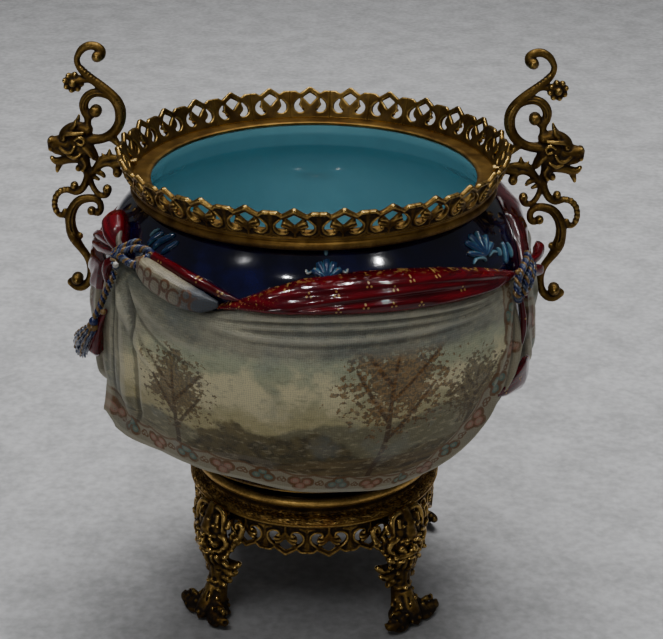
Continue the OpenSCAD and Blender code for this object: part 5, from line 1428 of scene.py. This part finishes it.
ring_z, apron_r, band_r, lip_r, ledge_r = 94.0, 94.5, 99.0, 92.0, 74.0
ledge_z, ring_in = foot_z - 2.45, foot_r + 1.4
band_top, lip_z = ring_z + 10, foot_z + 3.2
lip_bead = [(lip_r + 3.75 * math.cos(a), lip_z + 3.75 * math.sin(a)) for a in np.radians(range(-60, 190, 14))]
punched = spline([(lip_r + 0.6, band_top + 1.0), (band_r - 5.6, band_top - 1.0), (band_r - 2.7, ring_z + 7.4),
                  (band_r - 0.7, ring_z + 5.4), (band_r - 0.1, ring_z + 3.4)], 6)
ring_profile = [(ledge_r, ledge_z - 5), (ring_in - 1, ledge_z - 5), (ring_in, ring_z + 2), (ring_in + 1, ring_z),
                (apron_r + 2, ring_z), (band_r - 0.4, ring_z + 0.4), (band_r + 0.2, ring_z + 1.2),
                (band_r + 0.2, ring_z + 2.0), (band_r - 0.5, ring_z + 2.8), *punched[::-1],
                (lip_r - 1.4, band_top + 1.8), (lip_r - 2.4, band_top + 3.2), (lip_r - 2.0, band_top + 4.4),
                (lip_r + 0.8, lip_z - 4.4), *lip_bead, (ring_in, lip_z - 1), (ring_in, ledge_z), (ledge_r, ledge_z)]
ring_turns = 560
ring_points, ring_faces = lathe(ring_profile, ring_turns)
dice = np.random.default_rng(11)
grain = dice.random((len(punched), ring_turns))
grain = (grain + np.roll(grain, 1, 1) * 0.5 + np.roll(grain, 1, 0) * 0.4) / 1.9 - 0.5
from_row = 9  # the punched band's first row in the outline
rows = slice(from_row + 1, from_row + len(punched) - 1)
outward = ring_points[rows, :, :2] / np.linalg.norm(ring_points[rows, :, :2], axis=2)[..., None]
ring_points[rows, :, :2] += outward * (grain[1:-1] * 1.5)[..., None]
# marks for the gilt: the punched band painted lighter lower down, and a painted highlight over the rubbed fillet and
# lip bead
ring_high_mark = np.zeros(ring_points.shape[:2])
ring_high_mark[rows] = grain[1:-1] * 1.3 + 0.20 - np.linspace(0, 0.36, len(punched) - 2)[:, None]
ring_high_mark[from_row - 3:from_row - 1] = 0.34
ring_high_mark[from_row + len(punched):from_row + len(punched) + 4] = -0.35
bead_rows = from_row + len(punched) + 4
ring_high_mark[bead_rows:bead_rows + len(lip_bead)] = 0.30
# the ring's gilt is painted far brighter than the other castings' gilt, a painted light where the lamps give it little
put("ring_turned", ring_points, ring_faces, gilt("ring_gilt_painted_bright", 2.1, 0.95, 0.85), "gilt_metal", "stand_ring",
    marks={"high": ring_high_mark})

# The apron: the gallery's casting over again, upside down under the ring, four to each side.

apron_h, apron_step = 27.0, 20.0
drop_points, drop_faces, drop_high = motif_model(apron_h, 0.55, 2.2)
drop_high = none_at_ends(drop_points, drop_high)
across_stand = np.radians(drop_points[:, 0] / motif_half * apron_step / 2)
drop_r = apron_r + drop_points[:, 2]
drop_points = np.stack([drop_r * np.cos(across_stand), drop_r * np.sin(across_stand),
                        ring_z - 0.05 - drop_points[:, 1]], -1)
apron_metal = gilt("apron_gilt", 1.05, 0.85, 1.05)
for side_name, turn in (("front", -90), ("right", 0), ("back", 90), ("left", 180)):
    put_row(f"apron_row_{side_name}", drop_points, drop_faces[:, ::-1], drop_high, apron_metal, "gilt_metal",
            f"apron_{side_name}", 4, turn - 1.5 * apron_step, apron_step)

# The legs: four castings alike. Each has a leafy mask of nobody in particular under the ring, side
# leaves, a narrow ankle and a scroll foot, and is held by one screw through the lug behind it.


def leg_model():
    """A leg in its own frame: x points out from the middle of the stand, z up."""
    wax = Wax((85, -32, -1), (124, 32, 103), 0.72)

    def middle(rows, melt, cut=False, wide=1.0):
        """A stroke through (x, y, z, radius) on the leg's middle line."""
        wax.stroke(spline(rows, 4) if len(rows) > 2 else rows, melt, cut, (1, wide, 1))

    def both(rows, melt, cut=False):
        """The same stroke on the left and on the right of the middle."""
        for way in (-1, 1):
            middle(np.array(rows) * (1, way, 1, 1), melt, cut)

    # body from the mask down to the foot
    both([(103.6, 6.5, 90, 5.0), (104.4, 7.4, 79, 6.0), (104, 5.4, 66, 6.0), (102.4, 3.4, 55, 6.8),
          (100.2, 2.8, 43, 6.6), (100.4, 2.2, 33, 6.2), (102.6, 3.0, 22, 6.6), (106.4, 4.6, 13, 8.0)], 1.6)
    wax.plate([(85.5, -6), (94.5, -6), (101, -4), (101, 4), (94.5, 6), (85.5, 6)], ring_z - 6.15, ring_z - 0.2, 0.4)
    middle([(97.5, 0, 88, 3.4), (100, 0, 80, 4.4)], 1.0)
    # hood that laps the ring's band, and the two hanging straps
    middle([(103.4, 0, 98.2, 2.6), (105.6, 0, 92, 3.6), (108.6, 0, 86.6, 3.6)], 1.0, wide=1.4)
    both([(103.2, 5, 97.4, 2.3), (103.6, 10.4, 97.8, 2.4), (104.2, 14.2, 94.4, 2.4), (105.6, 15.4, 88.6, 2.3),
          (106.2, 15.0, 82.0, 2.2), (105.2, 15.6, 76.4, 2.0)], 0.6)
    both([(106.6, 9.6, 93.6, 1.7), (108.2, 9.8, 88.2, 1.6)], 0.5)
    both([(108.2, 12.3, 95, 0.8), (109.2, 12.2, 82, 0.8)], 0.4, True)
    both([(105.2, 19.0, 86.6, 2.2), (103.6, 19.4, 91.0, 1.8)], 0.6)
    # face: polished forehead, brows, eyes in dark sockets, nose, cheeks, moustache, lips
    middle([(108.6, 0, 84.0, 4.2), (110.2, 0, 80.4, 4.4)], 1.0, wide=1.35)
    both([(112.8, 1.6, 77.4, 1.6), (112.6, 5.2, 78.6, 1.7), (110.4, 9.4, 76.4, 1.5)], 0.5)
    both([(112.0, 4.9, 74.0, 2.6)], 0.5, True)
    both([(110.8, 4.9, 73.9, 2.1)], 0.2)
    middle([(112.2, 0, 77.4, 1.9), (114.4, 0, 72.6, 2.1), (115.8, 0, 69.2, 2.6)], 0.8)
    both([(114.6, 2.2, 68.8, 1.5)], 0.4)
    both([(109.6, 8.6, 69.6, 3.5)], 0.8)
    both([(115.0, 1.0, 65.6, 1.5), (113.2, 5.2, 64.2, 1.9), (110.6, 9.8, 63.0, 2.0), (108.0, 14.0, 65.2, 1.8),
          (107.6, 15.6, 68.6, 1.4)], 0.5)
    middle([(114.0, 0, 62.2, 1.3)], 0.4, True, wide=2.6)
    middle([(112.2, 0, 59.6, 1.9)], 0.5, wide=1.9)
    # beard in five locks with grooves between
    for y, z, tip in ((0, 56.5, 43.6), (4.6, 57.0, 46.4), (9.0, 57.4, 49.6)):
        both([(111.0 - y * 0.28, y, z, 2.5), (109.6 - y * 0.3, y * 1.04, (z + tip) / 2, 2.3),
              (106.6 - y * 0.3, y * 0.92, tip, 1.3)], 0.35)
    both([(112.6, 2.3, 58, 0.6), (111.0, 2.4, 51, 0.6), (108.4, 2.2, 46, 0.5)], 0.3, True)
    both([(111.0, 6.7, 58, 0.6), (109.2, 6.8, 53, 0.6), (106.6, 6.4, 48, 0.5)], 0.3, True)
    # ear, side knobs, and the leaf that sweeps up from the beard along the apron
    both([(108.4, 13.4, 78.0, 2.0), (106.6, 17.2, 76.0, 2.5), (106.4, 18.6, 71.4, 2.3), (107.0, 16.6, 68.0, 1.7)], 0.5)
    both([(106.0, 17.2, 61.0, 2.7)], 0.8)
    both([(104.6, 14.2, 52.6, 2.7)], 0.8)
    both([(106.0, 9.5, 55.4, 2.3), (105.0, 14.4, 60.4, 2.5), (103.2, 19.4, 67.4, 2.6), (101.0, 23.8, 74.4, 2.6),
          (98.9, 27.2, 81.0, 2.3), (98.2, 28.4, 87.2, 2.0), (98.8, 26.2, 90.6, 1.8), (99.8, 23.6, 89.4, 1.7),
          (100.2, 23.6, 86.4, 1.7)], 0.5)
    both([(101.2, 25.6, 73.0, 1.5), (99.8, 28.6, 75.8, 1.1)], 0.4)
    both([(103.0, 19.6, 72.0, 1.5), (102.2, 19.8, 78.0, 1.8), (101.4, 21.6, 82.0, 1.2)], 0.4)
    both([(104.6, 13.6, 58.6, 0.6), (104.8, 19.4, 67.2, 0.6), (102.6, 24.0, 74.6, 0.5)], 0.3, True)
    # leaf bracket under the apron
    both([(101.0, 6.0, 50.4, 4.2), (99.0, 11.4, 48.6, 4.0), (97.6, 17.0, 49.0, 3.8), (97.0, 21.4, 51.6, 2.6)], 0.7)
    both([(101.0, 8.0, 43.6, 3.0), (98.6, 13.6, 40.8, 3.4), (97.4, 17.8, 42.8, 2.4)], 0.6)
    both([(101.0, 9.0, 36.6, 3.2), (99.8, 13.0, 34.2, 2.6)], 0.6)
    both([(101.8, 8.6, 47.9, 0.6), (99.2, 13.4, 46.0, 0.5)], 0.3, True)
    # shin with its ribs, the polished ankle and its grooves
    middle([(106.4, 0, 44.6, 1.9), (105.4, 0, 38.6, 2.0), (105.2, 0, 33.6, 2.0)], 0.6)
    both([(104.6, 3.6, 44.0, 1.4), (103.6, 4.6, 37.6, 1.5), (103.4, 4.2, 33.0, 1.4)], 0.4)
    both([(101.6, 7.2, 29.4, 1.9), (105.2, 5.0, 30.6, 2.2), (106.8, 0.2, 31.4, 2.4)], 0.6)
    both([(103.2, 7.6, 25.0, 1.5), (107.2, 4.6, 26.2, 1.7), (108.8, 0.2, 26.8, 1.8)], 0.5)
    middle([(108.0, 0, 25.6, 4.0), (110.4, 0, 19.6, 4.8), (113.4, 0, 13.4, 5.4), (116.6, 0, 9.0, 5.0),
            (118.4, 0, 6.4, 4.0)], 0.9, wide=1.25)
    both([(112.2, 2.2, 24, 0.7), (115.4, 3.0, 17.6, 0.7)], 0.3, True)
    # foot: a scroll lying across the leg, and leafy toes
    wax.stroke([(106.8, -8.6, 8.2, 7.4), (106.8, 8.6, 8.2, 7.4)], 1.2)
    both([(106.8, 12.6, 8.2, 4.2)], 0.5)
    both([(107.2, 14.6, 12.6, 0.8), (111.4, 14.4, 9.8, 0.8), (110.4, 14.4, 4.8, 0.8), (105.4, 14.6, 3.6, 0.8),
          (102.4, 14.4, 8.4, 0.8)], 0.3, True)
    both([(108.4, 3.6, 16.4, 1.4), (109.0, 9.6, 16.2, 1.8), (108.0, 13.8, 13.2, 1.6)], 0.5)
    both([(110.6, 7.0, 10.0, 5.6), (114.4, 12.6, 8.8, 5.2), (116.2, 18.0, 8.6, 4.2), (116.0, 22.4, 8.6, 3.8),
          (115.0, 25.2, 8.8, 3.2)], 0.8)
    both([(113.6, 8.0, 5.2, 4.6), (117.2, 12.0, 4.8, 3.8), (117.4, 17.4, 4.6, 3.0)], 0.6)
    both([(112.4, 13.0, 13.6, 2.6), (112.2, 18.2, 14.8, 2.4), (113.4, 22.0, 13.6, 1.8)], 0.6)
    both([(118.4, 16.0, 6.4, 2.0), (118.6, 20.4, 6.0, 1.6)], 0.5)
    both([(118.8, 4.4, 8.4, 0.7), (121.6, 7.6, 9.4, 0.7)], 0.3, True)
    # small knobs and pits all over, as an old casting has
    skin = wax.skin()[0]
    for knob in skin[dice.choice(len(skin), 260)]:
        if 2.6 < knob[2] < 90 and knob[0] > 99:
            wax.stroke([(*knob, dice.uniform(0.9, 2.1))], 0.6, dice.random() < 0.3)
    # level underneath, clear of the ring and the apron, and bored for its screw
    x, y, z = wax.grid()
    r = np.hypot(x, y)
    wax.take_away(0.05 - z)
    wax.take_away(np.where(z > ring_z - 1.0, band_r + 0.4 - r, -9))
    wax.take_away(np.where((np.abs(y) > 7.6) & (z > ring_z - 29), apron_r + 2.9 - r, -9))
    wax.take_away(np.where(z < ring_z - 6.2, 4.4, 2.3) - np.hypot(x - apron_r + 3.5, y))
    return wax.skin()


leg_points, leg_faces, leg_high = leg_model()
leg_high = leg_high - 0.4 * np.clip((17 - leg_points[:, 2]) / 6, 0, 1)  # darker towards the foot
leg_metal = gilt("leg_gilt", 0.75, 0.85, 1.1)
for corner_name, turn in (("front_left", 225), ("front_right", 315), ("back_left", 135), ("back_right", 45)):
    c, s = math.cos(math.radians(turn)), math.sin(math.radians(turn))
    x, y, z = leg_points.T
    turned = np.stack([x * c - y * s, x * s + y * c, z], -1)
    put(f"mask_leg_{corner_name}", turned, leg_faces, leg_metal, "gilt_metal", f"leg_{corner_name}",
        marks={"high": leg_high}, crease=180)

# What holds it together, out of sight: brass screws for the handles and legs, a flat iron cross
# under the bowl, the bolt and its nut with leather, zinc and cork between them and the clay.


def plain(name, low, high, metallic, roughness, size, depth):
    """A simple worn finish for a hidden part, cloudy between two shades."""
    finish = Finish(name)
    cloud = finish.noise(size, 4) * 0.7 + finish.noise(size / 7, 3) * 0.3
    return finish.shade(base_color=finish.mix(cloud.rise(0.3, 0.7), low, high), metallic=metallic,
                        roughness=roughness + 0.2 * cloud, normal=finish.bump(cloud, depth, 0.5))


screw_brass = plain("screw_brass", (0.30, 0.19, 0.06), (0.55, 0.39, 0.16), 1.0, 0.25, 4, 0.1)
dark_iron = plain("dark_iron", (0.020, 0.017, 0.015), (0.070, 0.060, 0.052), 0.9, 0.42, 12, 0.2)
bolt_steel = plain("bolt_steel", (0.20, 0.19, 0.18), (0.36, 0.35, 0.33), 1.0, 0.30, 6, 0.1)
cork = plain("cork", (0.24, 0.13, 0.060), (0.40, 0.25, 0.13), 0.0, 0.75, 3, 0.5)
leather = plain("leather", (0.060, 0.028, 0.014), (0.13, 0.065, 0.032), 0.0, 0.6, 3, 0.3)
zinc = plain("zinc", (0.34, 0.35, 0.36), (0.50, 0.51, 0.52), 1.0, 0.35, 5, 0.1)
for node, finish in (("handle_screws", screw_brass), ("leg_screws", screw_brass), ("cross_bars", dark_iron),
                     ("tie_bolt", bolt_steel), ("tie_nut", bolt_steel), ("cork_ring", cork),
                     ("leather_washer", leather), ("floor_washer", zinc), ("under_washer", zinc)):
    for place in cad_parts[node].material_slots:
        place.material = finish
